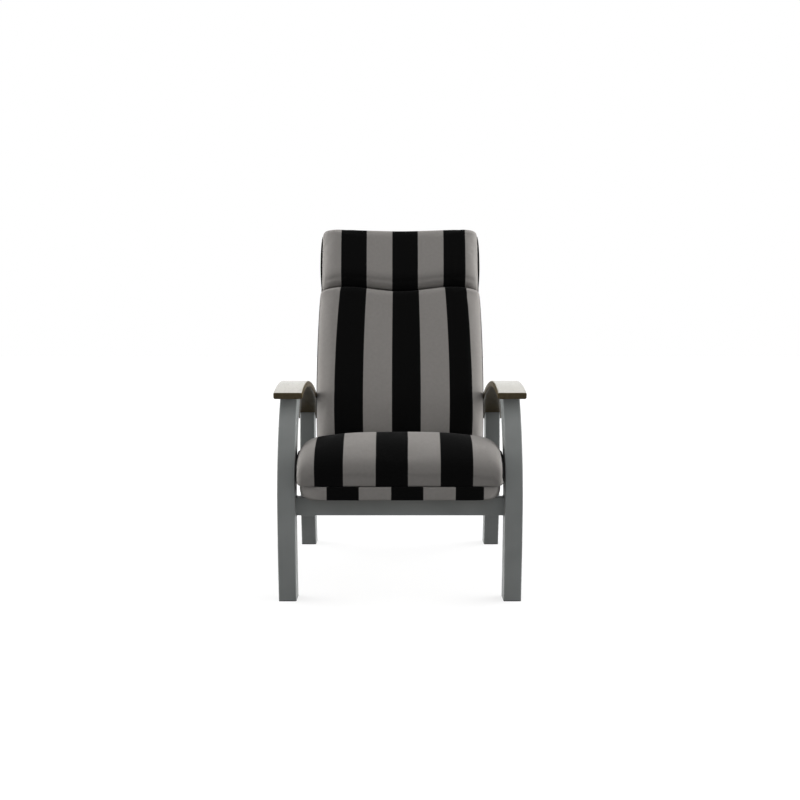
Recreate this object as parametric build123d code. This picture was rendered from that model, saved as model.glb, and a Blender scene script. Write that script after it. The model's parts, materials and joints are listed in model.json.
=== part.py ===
"""Reclining garden armchair: a tube frame with curved legs and bent wooden arms carries a
padded seat, and a padded back that leans back on two hinges and is held by a gas spring.

Millimetres and degrees, +Z up.  The sitter faces -Y.  While the chair is worked out, Y = 0 is
the foremost face of the front legs; the finished pieces are moved so that the origin is the
middle of the whole chair on the floor.
"""
import os
from math import asin, cos, degrees, radians, sin, tan

from build123d import *

# Whole chair
width_over_legs = 714
leg_pitch = 656                # front face of the front leg to that of the rear leg, at the waists
running_fit = 0.05             # radial clearance of a pin that turns or slides
snug_fit = 0.02                # radial clearance of a pin that is held fast
soft_gap = 0.3                 # between a soft piece and what it lies against
overrun = 40                   # how far a cutting tool or a rough length passes the finished face

# Legs: rectangular tube bent in side view
leg_width = 52
leg_depth = 60
leg_wall = 2.5
leg_corner = 3
front_waist_height = 270       # where the front leg runs upright
front_lower_radius = 2440      # bend of the front face below the waist
front_upper_radius = 550       # bend of the front face above the waist
rear_waist_height = 272
rear_radius = 1200
glide_height = 3
glide_plug = 22
glide_edge = 1

# Arms: a bent board on each pair of legs, given by its top face
arm_width = 85
arm_inset = 3.5                # middle of the arm, inside the middle of the legs
arm_thickness = 20
arm_edge = 5.5
arm_end_edge = 3
arm_front = 45                 # set back from the front face of the legs
arm_front_height = 614
arm_front_slope = 14.5
arm_middle_slope = -4.7
arm_rear_slope = -28
arm_front_radius = 650
arm_rear_radius = 1030
arm_tail = 90
arm_plate = 4                  # plate welded in the top of each leg
arm_plate_gap = 0.3            # to the arm
arm_screw = 5
arm_screw_length = 15
arm_screw_head = 10
arm_screw_head_height = 3
arm_screw_pitch = 22

# Rails and bearers
rail_top = 308
rail_height = 54
rail_depth = 28
rail_wall = 2
rail_corner = 2.5
front_rail_setback = 30
bearer_width = 25
bearer_height = 40
mechanism_rail_front = 240
mechanism_rail_depth = 25

# Rounding of every cushion, from its flat side to its crown: how far up, and how far in
crown_height_shares = (0, 0.12, 0.3, 0.5, 0.66, 0.8, 0.91, 0.975, 1)
crown_inset_shares = (0.2, 0.05, 0, 0, 0.06, 0.22, 0.48, 0.82, 1.25)

# Seat
board_thickness = 12
board_front = -5
board_rear = 480
board_side_margin = 18         # inside the side of the base
board_corner = 28
base_height = 39
base_side_gap = 15             # to the legs
base_overhang = 17             # in front of the legs' front face
base_rear_margin = 8
base_corner = 40
base_under_edge = 7
cushion_side_gap = 3           # to the legs
cushion_overhang = 25
cushion_rear_gap = 1.8         # to the face of the back
cushion_height = 146           # at its crest
cushion_crest = 30             # where the top starts to fall towards the back
cushion_rake = 8.2
cushion_corner = 42
cushion_roundness = 62         # how far in from the edge the crown starts
seat_bolt = 6
seat_bolt_hole = 6.6
seat_bolt_head = 12
seat_bolt_head_height = 4
seat_bolt_grip = 8             # length in the board
seat_bolt_socket = 4
seat_bolt_front = 100
seat_bolt_rear = 420

# Back, built upright about its hinge line and then leant back
back_lean = 18
recline = 25
hinge_y = 522.5
hinge_z = 360
stile_side_margin = 41         # centre of the stile inside the side of the back
stile_width = 25
stile_depth = 20
stile_wall = 1.5
stile_foot = 16                # below the hinge line
stile_top = 765
back_rail_heights = (10, 395, 738)
back_rail_names = ("back_rail_bottom", "back_rail_middle", "back_rail_top")
panel_thickness = 9
panel_bottom = 26
panel_side_margin = 8
panel_top_margin = 12
panel_corner = 20
panel_screw = 4.5
panel_screw_head = 8
panel_screw_head_height = 1.5
panel_screw_length = 14
panel_screw_heights = (80, 300, 520, 720)
back_front = 84                # front face of the back, ahead of the hinge line
back_bottom = 25
back_side_gap = 19             # to the legs
back_taper = 8                 # each side, from the foot of the back to its top
back_corner = 26
back_roundness = 34
headrest_seam = 568
cushion_seam_gap = 2
headrest_top = 793
headrest_front = 92
headrest_corner = 20
headrest_roundness = 30
cover_thickness = 12
cover_side_wall = 7
cover_margin = 2
cover_edge = 5

# Hinges
hinge_plate = 5
hinge_plate_reach = 120
hinge_bracket = 6
hinge_bracket_radius = 18
hinge_bracket_foot = 70
hinge_pin = 12
hinge_pin_head = 20
hinge_pin_head_height = 4
hinge_pin_reach = 24           # inwards from the bracket's inner face
bush_wall = 2
bush_flange = 1.5
bush_flange_radius = 10
hinge_side_play = 0.3

# Gas spring and the crank that it works on
crank_radius = 72
crank_plate = 4
crank_end_radius = 11
crank_root_radius = 15
crank_pin = 8
crank_pin_head = 12
crank_pin_head_height = 3
eye_hole = 11                  # wide, so that the crank's small rise and fall is taken up
eye_outer = 23
eye_width = 12
eye_neck = 10
eye_side_play = 0.5
eye_shank = 19
cylinder_outer = 22
cylinder_wall = 1.5
cylinder_length = 112
cylinder_end = 6
guide_length = 13
rod_diameter = 8
piston_length = 10
piston_gap = 4                 # between the piston and the guide with the back upright

# Release head, its bracket, the release pin and the lever
release_travel_arm = 12        # height of the finger's nose above the shaft
shaft_diameter = 10
shaft_clearance_to_rail = 15
shaft_tail = 5
finger_width = 8
finger_hub_radius = 9
finger_nose_radius = 3
finger_nose_ahead = 6
pin_diameter = 4
pin_protrusion = 6
pin_depth = 14
pin_room = 4                   # between the release pin and the spring's rod
head_length = 32
head_size = 20
pivot_diameter = 8
pivot_depth = 5
pivot_head = 12
pivot_head_height = 2
pivot_from_front = 13
bracket_plate = 4
bracket_side_play = 0.5
bracket_end_radius = 12
bracket_drop = 25              # lower edge of the spring bracket below the spring's axis
shaft_bush_wall = 1.5
lever_plate = 6
lever_gap = 14                 # from the bearer to the lever
lever_hub_radius = 12
lever_droop = 14
lever_reach = 138
lever_width = 14
grip_length = 76
grip_width = 14
grip_height = 22
grip_edge = 5

# Worked out from the sizes above
leg_centre = (width_over_legs - leg_width) / 2
rail_span = width_over_legs - 2 * leg_width
base_half_width = rail_span / 2 - base_side_gap
board_half_width = base_half_width - board_side_margin
cushion_half_width = rail_span / 2 - cushion_side_gap
back_half_width_low = rail_span / 2 - back_side_gap
back_half_width_high = back_half_width_low - back_taper
stile_centre = back_half_width_low - stile_side_margin
half_range = recline / 2
stile_outer = stile_centre + stile_width / 2
hinge_plate_outer = stile_outer + hinge_plate
bracket_inner = hinge_plate_outer + bush_flange + hinge_side_play
bearer_centre = bracket_inner - bearer_width / 2
bearer_front = front_rail_setback + rail_depth
rear_rail_front = leg_pitch + (leg_depth - rail_depth) / 2
base_top = rail_top + base_height
cushion_bottom = base_top + soft_gap
panel_front = stile_depth / 2 + panel_thickness
cushion_back_face = panel_front + soft_gap
crank_y = hinge_y + crank_radius * sin(radians(half_range))
crank_z = hinge_z - crank_radius * cos(radians(half_range))
spring_z = hinge_z - crank_radius * (1 + cos(radians(half_range))) / 2
spring_stroke = 2 * crank_radius * sin(radians(half_range))
shaft_y = mechanism_rail_front + mechanism_rail_depth + shaft_clearance_to_rail
shaft_z = spring_z - release_travel_arm
pin_tip = shaft_y + finger_nose_ahead + finger_nose_radius + soft_gap
head_front = pin_tip + pin_protrusion
head_rear = head_front + head_length
pivot_y = head_front + pivot_from_front

pieces = {}


def block(x_range, y_range, z_range):
    """A box between pairs of coordinates."""
    middle = [sum(span) / 2 for span in (x_range, y_range, z_range)]
    sizes = [span[1] - span[0] for span in (x_range, y_range, z_range)]
    return Pos(*middle) * Box(*sizes)


def rod(start, direction, diameter, length):
    """A round bar from a point along a direction."""
    return extrude(Plane(origin=start, z_dir=direction) * Circle(diameter / 2), length)


def side_plate(outline, x_from, thickness):
    """A plate whose outline lies in the side view (Y, Z), from x_from towards +X."""
    return extrude(Plane.YZ.offset(x_from) * outline, thickness)


def link(first, first_radius, second, second_radius):
    """The outline of a plate round two centres, with straight tangent edges between them."""
    discs = Pos(*first) * Circle(first_radius) + Pos(*second) * Circle(second_radius)
    return make_hull(discs.edges())


def square_tube(plane, across, high, wall, corner, length):
    """Rectangular tube along a plane's normal, centred on the plane's origin."""
    outside = RectangleRounded(across, high, corner)
    inside = RectangleRounded(across - 2 * wall, high - 2 * wall, corner / 2)
    return extrude(plane * (outside - inside), length)


def mirrored(shape):
    """The same piece for the other side of the chair."""
    return mirror(shape, about=Plane.YZ)


def add_pair(name, shape):
    """Keep a piece made on the +X side, the sitter's left, and its mirror image."""
    pieces[name + "_left"] = shape
    pieces[name + "_right"] = mirrored(shape)


def add_sides(name, shape):
    """Keep a piece that is the same either way round once over each pair of legs."""
    pieces[name + "_left"] = Pos(leg_centre, 0, 0) * shape
    pieces[name + "_right"] = Pos(-leg_centre, 0, 0) * shape


# Legs

def leg_arc(face_y, waist_height, face_radius, low_angle, high_angle):
    """Centre line of a leg whose front face bends about a centre behind it."""
    centre_y = face_y + face_radius
    radius = face_radius - leg_depth / 2

    def point(angle):
        turn = radians(angle)
        return (0, centre_y - radius * cos(turn), waist_height + radius * sin(turn))

    return ThreePointArc(point(low_angle), point((low_angle + high_angle) / 2), point(high_angle))


def along_leg(path, shrink, corner):
    """A rectangle, smaller than the leg's section by shrink all round, swept along its line."""
    start = Plane(origin=path @ 0, x_dir=(1, 0, 0), z_dir=path % 0)
    section = RectangleRounded(leg_width - 2 * shrink, leg_depth - 2 * shrink, corner)
    return sweep(start * section, path=path)


def arm_centres():
    """Centres of the arm's front and rear arcs, as (Y, Z)."""
    first, middle = radians(arm_front_slope), radians(arm_middle_slope)
    front = (arm_front + arm_front_radius * sin(first),
             arm_front_height - arm_front_radius * cos(first))
    joint = (front[0] - arm_front_radius * sin(middle), front[1] + arm_front_radius * cos(middle))
    rear = (joint[0] + arm_rear_radius * sin(middle), joint[1] - arm_rear_radius * cos(middle))
    return front, rear


def arm_point(centre, reach, slope):
    """Point of an arm arc where its slope is as given."""
    turn = radians(slope)
    return Vector(0, centre[0] - reach * sin(turn), centre[1] + reach * cos(turn))


def arm_arc(centre, reach, first_slope, last_slope):
    """Arc of the arm between two slopes."""
    slopes = (first_slope, (first_slope + last_slope) / 2, last_slope)
    return ThreePointArc(*[arm_point(centre, reach, slope) for slope in slopes])


def arm_line(under, lead=0):
    """The arm's line at a depth under its top face, longer by a straight lead at each end."""
    front_centre, rear_centre = arm_centres()
    front = arm_arc(front_centre, arm_front_radius - under, arm_front_slope, arm_middle_slope)
    rear = arm_arc(rear_centre, arm_rear_radius - under, arm_middle_slope, arm_rear_slope)
    edges = [front, rear, Line(rear @ 1, (rear @ 1) + (rear % 1) * (arm_tail + lead))]
    if lead:
        edges.insert(0, Line((front @ 0) - (front % 0) * lead, front @ 0))
    return Wire(edges)


def arm_seat(y):
    """Direction square to the arm over a place along Y, and the point there on its underside."""
    front_centre, rear_centre = arm_centres()
    front_reach, rear_reach = arm_front_radius - arm_thickness, arm_rear_radius - arm_thickness
    tail_start = arm_point(rear_centre, rear_reach, arm_rear_slope)
    if y < arm_point(front_centre, front_reach, arm_middle_slope).Y:
        slope = degrees(asin((front_centre[0] - y) / front_reach))
        point = arm_point(front_centre, front_reach, slope)
    elif y < tail_start.Y:
        slope = degrees(asin((rear_centre[0] - y) / rear_reach))
        point = arm_point(rear_centre, rear_reach, slope)
    else:
        slope = arm_rear_slope
        point = tail_start + Vector(0, 1, tan(radians(slope))) * (y - tail_start.Y)
    return Vector(0, -sin(radians(slope)), cos(radians(slope))), point


def under_arm(depth):
    """Everything between the floor pads and a line at a depth under the arm's top face."""
    top = arm_line(depth, lead=2 * leg_depth)
    first, last = top @ 0, top @ 1
    outline = Wire([*top.edges(),
                    Line(last, (0, last.Y, glide_height)),
                    Line((0, last.Y, glide_height), (0, first.Y, glide_height)),
                    Line((0, first.Y, glide_height), first)])
    return extrude(Face(outline), leg_width, both=True)


def leg_blank(path):
    """A leg's outer form, its bore, and the form of a plug that fits in the bore."""
    bore_corner = leg_corner / 2
    return (along_leg(path, 0, leg_corner),
            along_leg(path, leg_wall, bore_corner),
            along_leg(path, leg_wall + snug_fit, bore_corner))


front_foot_angle = -degrees(asin(front_waist_height / front_lower_radius))
rear_foot_angle = -degrees(asin(rear_waist_height / rear_radius))
front_top_angle = degrees(asin((arm_front_height + arm_thickness - front_waist_height)
                               / (front_upper_radius - leg_depth)))
rear_top_angle = degrees(asin((arm_front_height - rear_waist_height) / rear_radius))
extra_turn = degrees(overrun / front_lower_radius)
front_path = Wire([
    leg_arc(0, front_waist_height, front_lower_radius, front_foot_angle - extra_turn, 0),
    leg_arc(0, front_waist_height, front_upper_radius, 0, front_top_angle)])
rear_path = Wire([
    leg_arc(leg_pitch, rear_waist_height, rear_radius, rear_foot_angle - 2 * extra_turn,
            rear_top_angle)])
room = under_arm(arm_thickness)
room_for_plate = under_arm(arm_thickness + arm_plate_gap)
room_below_plate = under_arm(arm_thickness + arm_plate_gap + arm_plate)
foot_slab = block((-leg_width, leg_width), (-leg_pitch, 2 * leg_pitch), (0, glide_height))
plug_slab = block((-leg_width, leg_width), (-leg_pitch, 2 * leg_pitch),
                  (glide_height, glide_height + glide_plug))
arm_plates = {}
for end, path in (("front", front_path), ("rear", rear_path)):
    outer, bore, plug = leg_blank(path)
    glide = (outer & foot_slab) + (plug & plug_slab)
    glide = chamfer(glide.faces().sort_by(Axis.Z)[0].edges(), glide_edge)
    add_sides(end + "_leg", (outer - bore) & room)
    add_sides(end + "_glide", glide)
    arm_plates[end] = (plug & room_for_plate) - room_below_plate

# Arms and the screws that hold them

arm_start = arm_line(arm_thickness / 2)
arm_section = Plane(origin=arm_start @ 0, x_dir=(1, 0, 0), z_dir=arm_start % 0)
board = sweep(arm_section * RectangleRounded(arm_width, arm_thickness, arm_edge), path=arm_start)
board_faces = board.faces().sort_by(Axis.Y)
board = fillet(board_faces[0].edges() + board_faces[-1].edges(), arm_end_edge)
arms = {side: Pos(-side * arm_inset, 0, 0) * board for side in (-1, 1)}

arm_screws = []
for end, plate in arm_plates.items():
    square, seat_point = arm_seat(plate.center().Y)
    for side in (-1, 1):
        below_arm = arm_plate_gap + arm_plate + soft_gap + arm_screw_head_height
        head_at = seat_point - square * below_arm + Vector(side * arm_screw_pitch / 2, 0, 0)
        screw = rod(head_at, square, arm_screw_head, arm_screw_head_height)
        shank_length = below_arm + arm_screw_length
        screw = screw + rod(head_at, square, arm_screw, shank_length)
        arm_screws.append(screw)
        hole = rod(head_at, square, arm_screw + 2 * snug_fit, shank_length + snug_fit)
        arm_plates[end] = arm_plates[end] - hole
        arms = {place: arm - hole for place, arm in arms.items()}
pieces["arm_left"] = Pos(leg_centre, 0, 0) * arms[1]
pieces["arm_right"] = Pos(-leg_centre, 0, 0) * arms[-1]
for end, plate in arm_plates.items():
    add_sides(end + "_arm_plate", plate)
pieces["arm_screws"] = Compound([Pos(side * leg_centre, 0, 0) * screw
                                 for side in (-1, 1) for screw in arm_screws])

# Rails and bearers

rail_middle = rail_top - rail_height / 2
bearer_middle = rail_top - bearer_height / 2
for name, front in (("front_rail", front_rail_setback), ("rear_rail", rear_rail_front)):
    start = Plane(origin=(-rail_span / 2, front + rail_depth / 2, rail_middle),
                  x_dir=(0, 1, 0), z_dir=(1, 0, 0))
    pieces[name] = square_tube(start, rail_depth, rail_height, rail_wall, rail_corner, rail_span)

bearer_start = Plane(origin=(bearer_centre, bearer_front, bearer_middle),
                     x_dir=(1, 0, 0), z_dir=(0, 1, 0))
bearer = square_tube(bearer_start, bearer_width, bearer_height, rail_wall, rail_corner,
                     rear_rail_front - bearer_front)
bearer_right = mirrored(bearer)

mechanism_half = bearer_centre - bearer_width / 2
mechanism_start = Plane(
    origin=(-mechanism_half, mechanism_rail_front + mechanism_rail_depth / 2, bearer_middle),
    x_dir=(0, 1, 0), z_dir=(1, 0, 0))
pieces["mechanism_rail"] = square_tube(mechanism_start, mechanism_rail_depth, bearer_height,
                                       rail_wall, rail_corner, 2 * mechanism_half)

# Seat: board, padded base, cushion and bolts

board_top = rail_top + board_thickness


def rounded_slab(half_width, y_range, z_range, corner):
    """A flat slab with round corners in plan."""
    plan = RectangleRounded(2 * half_width, y_range[1] - y_range[0], corner)
    foot = Pos(0, (y_range[0] + y_range[1]) / 2, z_range[0])
    return extrude(foot * plan, z_range[1] - z_range[0])


board = rounded_slab(board_half_width, (board_front, board_rear), (rail_top, board_top),
                     board_corner)
base = rounded_slab(base_half_width, (-base_overhang, board_rear + base_rear_margin),
                    (rail_top, base_top), base_corner)
base = fillet(base.faces().sort_by(Axis.Z)[0].edges(), base_under_edge)
pieces["seat_base"] = base - board

seat_bolts = []
for side in (-1, 1):
    for y in (seat_bolt_front, seat_bolt_rear):
        below = (side * bearer_centre, y, rail_top - bearer_height - seat_bolt_head_height)
        grip = seat_bolt_head_height + bearer_height + seat_bolt_grip
        hole = rod(below, (0, 0, 1), seat_bolt_hole, seat_bolt_head_height + bearer_height)
        bearer = bearer - hole
        bearer_right = bearer_right - hole
        board = board - rod(below, (0, 0, 1), seat_bolt + 2 * snug_fit, grip + snug_fit)
        bolt = rod(below, (0, 0, 1), seat_bolt_head, seat_bolt_head_height)
        bolt = bolt + rod(below, (0, 0, 1), seat_bolt, grip)
        socket = extrude(Pos(*below) * RegularPolygon(seat_bolt_socket / 2, 6),
                         seat_bolt_head_height / 2)
        seat_bolts.append(bolt - socket)
pieces["seat_board"] = board
pieces["seat_bolts"] = Compound(seat_bolts)


def front_plane_y(ahead, z):
    """Y at height z of a plane parallel to the leant back, ahead of the hinge line."""
    lean = radians(back_lean)
    return hinge_y - (ahead - (z - hinge_z) * sin(lean)) / cos(lean)


def pillow_section(plane, half_low, half_high, low, high, corner):
    """One closed outline of a cushion: four sides and four round corners."""
    outline = Polygon((-half_low, low), (half_low, low), (half_high, high), (-half_high, high),
                      align=None)
    return plane * fillet(outline.vertices(), corner)


def seat_pillow():
    """Cushion with a crowned, raked top and drawn-in lower edge, lofted through outlines
    that fan up from its bottom about a far line behind it."""
    fan_y = cushion_crest + cushion_height / tan(radians(cushion_rake))
    rear_face = back_front + cushion_rear_gap
    sections = []
    for height_share, inset_share in zip(crown_height_shares, crown_inset_shares):
        angle = cushion_rake * height_share
        inset = cushion_roundness * inset_share
        rear = front_plane_y(rear_face, cushion_bottom)
        rise = (fan_y - rear) * tan(radians(angle))
        rear = front_plane_y(rear_face, cushion_bottom + rise) - inset
        front = inset - cushion_overhang
        plane = Pos(0, fan_y, cushion_bottom) * Rot(-angle, 0, 0)
        half = cushion_half_width - inset
        sections.append(pillow_section(plane, half, half, front - fan_y,
                                       (rear - fan_y) / cos(radians(angle)), cushion_corner))
    return loft(sections)


pieces["seat_cushion"] = seat_pillow()

# Back frame, upright about the hinge line: X across, Y backwards, Z up the back


def lean_back(shape):
    """Lean an upright back piece and bring it to its hinge line."""
    return Pos(0, hinge_y, hinge_z) * Rot(-back_lean, 0, 0) * shape


def half_width_at(height):
    """Half width of the upholstered back at a height above the hinge line."""
    share = (height - back_bottom) / (headrest_top - back_bottom)
    return back_half_width_low + (back_half_width_high - back_half_width_low) * share


bush_radius = hinge_pin / 2 + running_fit + bush_wall
stile_start = Plane(origin=(stile_centre, 0, -stile_foot), x_dir=(1, 0, 0), z_dir=(0, 0, 1))
stile = square_tube(stile_start, stile_width, stile_depth, stile_wall, rail_corner,
                    stile_foot + stile_top)
bush_bore = rod((stile_centre, 0, 0), (1, 0, 0), 2 * bush_radius, stile_width)
add_pair("back_stile", lean_back(stile - bush_bore))

hinge_strap = link((0, 0), stile_depth / 2, (0, hinge_plate_reach), stile_depth / 2)
strap = side_plate(hinge_strap, stile_outer, hinge_plate) - bush_bore
add_pair("hinge_plate", lean_back(strap))

bush_inner_end = stile_outer - stile_wall
bush = rod((bush_inner_end, 0, 0), (1, 0, 0), 2 * bush_radius, hinge_plate_outer - bush_inner_end)
bush = bush + rod((hinge_plate_outer, 0, 0), (1, 0, 0), 2 * bush_flange_radius, bush_flange)
pin_passage = rod((stile_centre, 0, 0), (1, 0, 0), hinge_pin + 2 * running_fit, stile_width)
add_pair("hinge_bush", lean_back(bush - pin_passage))

back_rails = {}
for name, height in zip(back_rail_names, back_rail_heights):
    inner = stile_centre - stile_width / 2
    start = Plane(origin=(-inner, 0, height), x_dir=(0, 1, 0), z_dir=(1, 0, 0))
    back_rails[name] = square_tube(start, stile_depth, stile_width, stile_wall, rail_corner,
                                   2 * inner)
    pieces[name] = lean_back(back_rails[name])

panel_half_low = half_width_at(panel_bottom) - panel_side_margin - cover_side_wall
panel_half_high = half_width_at(headrest_top) - panel_side_margin - cover_side_wall
panel_top = headrest_top - panel_top_margin
panel_outline = pillow_section(Plane.XZ.offset(stile_depth / 2), panel_half_low, panel_half_high,
                               panel_bottom, panel_top, panel_corner)
panel = extrude(panel_outline, panel_thickness)
panel_screws = []
for side in (-1, 1):
    for height in panel_screw_heights:
        place = (side * stile_centre, -panel_front, height)
        screw = rod(place, (0, 1, 0), panel_screw_head, panel_screw_head_height)
        screw = screw + rod(place, (0, 1, 0), panel_screw, panel_screw_length)
        clearance = 2 * snug_fit
        hole = rod(place, (0, 1, 0), panel_screw + clearance, panel_screw_length + snug_fit)
        sink = rod(place, (0, 1, 0), panel_screw_head + clearance, panel_screw_head_height)
        panel = panel - hole - sink
        node = "back_stile_left" if side > 0 else "back_stile_right"
        pieces[node] = pieces[node] - lean_back(hole)
        panel_screws.append(lean_back(screw))
pieces["back_panel"] = lean_back(panel)
pieces["panel_screws"] = Compound(panel_screws)


def back_pillow(low, high, front, corner, roundness):
    """Back cushion, lofted forwards from the panel with a crowned face and drawn-in sides."""
    sections = []
    depth = front - cushion_back_face
    for height_share, inset_share in zip(crown_height_shares, crown_inset_shares):
        inset = roundness * inset_share
        plane = Plane.XZ.offset(cushion_back_face + depth * height_share)
        sections.append(pillow_section(plane, half_width_at(low) - inset,
                                       half_width_at(high) - inset,
                                       low + inset, high - inset, corner))
    return loft(sections)


pieces["back_cushion"] = lean_back(
    back_pillow(back_bottom, headrest_seam - cushion_seam_gap, back_front, back_corner, back_roundness))
pieces["headrest_cushion"] = lean_back(
    back_pillow(headrest_seam, headrest_top, headrest_front, headrest_corner,
                headrest_roundness))

cover_front = -(panel_front - panel_thickness / 2)
cover_inside = stile_depth / 2 + soft_gap
cover_back = cover_inside + cover_thickness
cover_half_low = half_width_at(back_bottom) - cover_margin
cover_half_high = half_width_at(headrest_top) - cover_margin
cover_top = headrest_top - cover_margin
outside = pillow_section(Plane.XZ.offset(-cover_back), cover_half_low, cover_half_high,
                         back_bottom, cover_top, panel_corner)
inside = pillow_section(Plane.XZ.offset(-cover_inside),
                        cover_half_low - cover_side_wall, cover_half_high - cover_side_wall,
                        back_bottom - overrun, cover_top - cover_side_wall, panel_corner)
cover = extrude(outside, cover_back - cover_front)
cover = fillet(cover.faces().sort_by(Axis.Y)[-1].edges(), cover_edge)
pieces["back_cover"] = lean_back(cover - extrude(inside, overrun))

# Hinge brackets and pins, fixed to the bearers


def bracket_outline():
    """Side view of a hinge bracket: a round eye on a foot that laps the bearer's outer face."""
    eye = Pos(hinge_y, hinge_z) * Circle(hinge_bracket_radius)
    half_foot = hinge_bracket_foot / 2
    foot_low = rail_top - bearer_height + rail_corner
    foot = Polygon((hinge_y - half_foot, foot_low), (hinge_y + half_foot, foot_low),
                   (hinge_y + half_foot, rail_top), (hinge_y + hinge_bracket_radius, hinge_z),
                   (hinge_y - hinge_bracket_radius, hinge_z), (hinge_y - half_foot, rail_top),
                   align=None)
    return eye + foot


bracket_outer = bracket_inner + hinge_bracket
pin_inner = bracket_inner - hinge_pin_reach
pin_hole = rod((pin_inner, hinge_y, hinge_z), (1, 0, 0), hinge_pin + 2 * snug_fit,
               bracket_outer - pin_inner)
add_pair("hinge_bracket", side_plate(bracket_outline(), bracket_inner, hinge_bracket) - pin_hole)
hinge_pin_body = rod((pin_inner, hinge_y, hinge_z), (1, 0, 0), hinge_pin,
                     bracket_outer - pin_inner)
hinge_pin_top = rod((bracket_outer, hinge_y, hinge_z), (1, 0, 0), hinge_pin_head,
                    hinge_pin_head_height)
add_pair("hinge_pin", hinge_pin_body + hinge_pin_top)

# Crank on the back's bottom rail, and its pin

cheek_inner = eye_width / 2 + eye_side_play
cheek_outer = cheek_inner + crank_plate
rail_under = back_rail_heights[0] - stile_width / 2
cheek_outline = link((hinge_y, hinge_z), crank_root_radius, (crank_y, crank_z), crank_end_radius)
cheek = side_plate(cheek_outline, cheek_inner, crank_plate)
below_rail = lean_back(block((-overrun, overrun), (-2 * overrun, 2 * overrun),
                             (-3 * overrun, rail_under)))
web = lean_back(block((-cheek_outer, cheek_outer), (-stile_depth / 2, stile_depth / 2),
                      (rail_under - crank_plate, rail_under)))
crank_pin_hole = rod((-overrun, crank_y, crank_z), (1, 0, 0), crank_pin + 2 * snug_fit,
                     2 * overrun)
crank = ((cheek + mirrored(cheek)) & below_rail) + web
pieces["crank_bracket"] = crank - crank_pin_hole
crank_pin_half = cheek_outer + crank_pin_head_height
pin_body = rod((-crank_pin_half, crank_y, crank_z), (1, 0, 0), crank_pin, 2 * crank_pin_half)
for start in (-crank_pin_half, cheek_outer):
    pin_body = pin_body + rod((start, crank_y, crank_z), (1, 0, 0), crank_pin_head,
                              crank_pin_head_height)
pieces["crank_pin"] = pin_body

# Gas spring, along Y under the seat

cylinder_rear = crank_y - eye_shank
cylinder_front = cylinder_rear - cylinder_length
cylinder_bore = cylinder_outer - 2 * cylinder_wall
cylinder = rod((0, cylinder_front, spring_z), (0, 1, 0), cylinder_outer, cylinder_length)
cylinder = cylinder - rod((0, cylinder_front, spring_z), (0, 1, 0), cylinder_bore,
                          cylinder_length - cylinder_end)
pieces["gas_cylinder"] = cylinder
guide = rod((0, cylinder_front, spring_z), (0, 1, 0), cylinder_bore - 2 * snug_fit, guide_length)
pieces["cylinder_guide"] = guide - rod((0, cylinder_front, spring_z), (0, 1, 0),
                                       rod_diameter + 2 * running_fit, guide_length)
eye = rod((-eye_width / 2, crank_y, spring_z), (1, 0, 0), eye_outer, eye_width)
eye = eye + rod((0, cylinder_rear, spring_z), (0, 1, 0), eye_neck, eye_shank)
pieces["cylinder_eye"] = eye - rod((-eye_width, crank_y, spring_z), (1, 0, 0), eye_hole,
                                   2 * eye_width)

piston_front = cylinder_front + guide_length + piston_gap
rod_front = head_front + pin_depth + pin_room
spring_rod = rod((0, rod_front, spring_z), (0, 1, 0), rod_diameter,
                 piston_front + piston_length - rod_front)
pieces["spring_rod"] = spring_rod
piston = rod((0, piston_front, spring_z), (0, 1, 0), cylinder_bore - 2 * running_fit,
             piston_length)
pieces["spring_piston"] = piston - rod((0, piston_front, spring_z), (0, 1, 0),
                                       rod_diameter + 2 * snug_fit, piston_length)

# Release head with its two pivots, in a bracket on the mechanism rail

head = block((-head_size / 2, head_size / 2), (head_front, head_rear),
             (spring_z - head_size / 2, spring_z + head_size / 2))
head = head - rod((0, rod_front, spring_z), (0, 1, 0), rod_diameter + 2 * snug_fit, head_length)
head = head - rod((0, head_front, spring_z), (0, 1, 0), pin_diameter + 2 * running_fit,
                  head_length)
cheek_near = head_size / 2 + bracket_side_play
cheek_far = cheek_near + bracket_plate
shaft_bush_radius = shaft_diameter / 2 + running_fit + shaft_bush_wall
bracket_side = Polygon((mechanism_rail_front + mechanism_rail_depth, spring_z - bracket_drop),
                       (shaft_y, spring_z - bracket_drop),
                       (pivot_y, spring_z - bracket_end_radius),
                       (pivot_y, spring_z + bracket_end_radius),
                       (mechanism_rail_front + mechanism_rail_depth,
                        spring_z + bracket_end_radius), align=None)
bracket_side = bracket_side + Pos(pivot_y, spring_z) * Circle(bracket_end_radius)
mechanism_rail_rear = mechanism_rail_front + mechanism_rail_depth
bracket_web = block((-cheek_far, cheek_far),
                    (mechanism_rail_rear, mechanism_rail_rear + bracket_plate),
                    (spring_z - bracket_drop, spring_z + bracket_end_radius))
spring_bracket = side_plate(bracket_side, cheek_near, bracket_plate)
spring_bracket = spring_bracket + mirrored(spring_bracket) + bracket_web
cross_bore = rod((-cheek_far, shaft_y, shaft_z), (1, 0, 0), 2 * shaft_bush_radius,
                 2 * cheek_far)
pivot_hole = rod((-cheek_far, pivot_y, spring_z), (1, 0, 0), pivot_diameter + 2 * snug_fit,
                 2 * cheek_far)
pieces["spring_bracket"] = spring_bracket - cross_bore - pivot_hole
pieces["release_head"] = head - pivot_hole
head_pivot_start = cheek_far + pivot_head_height
head_pivot = rod((head_pivot_start, pivot_y, spring_z), (-1, 0, 0), pivot_diameter,
                 head_pivot_start - head_size / 2 + pivot_depth)
head_pivot = head_pivot + rod((cheek_far, pivot_y, spring_z), (1, 0, 0), pivot_head,
                              pivot_head_height)
pieces["head_pivots"] = Compound([head_pivot, mirrored(head_pivot)])
pieces["release_pin"] = rod((0, pin_tip, spring_z), (0, 1, 0), pin_diameter,
                            pin_protrusion + pin_depth)

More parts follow.
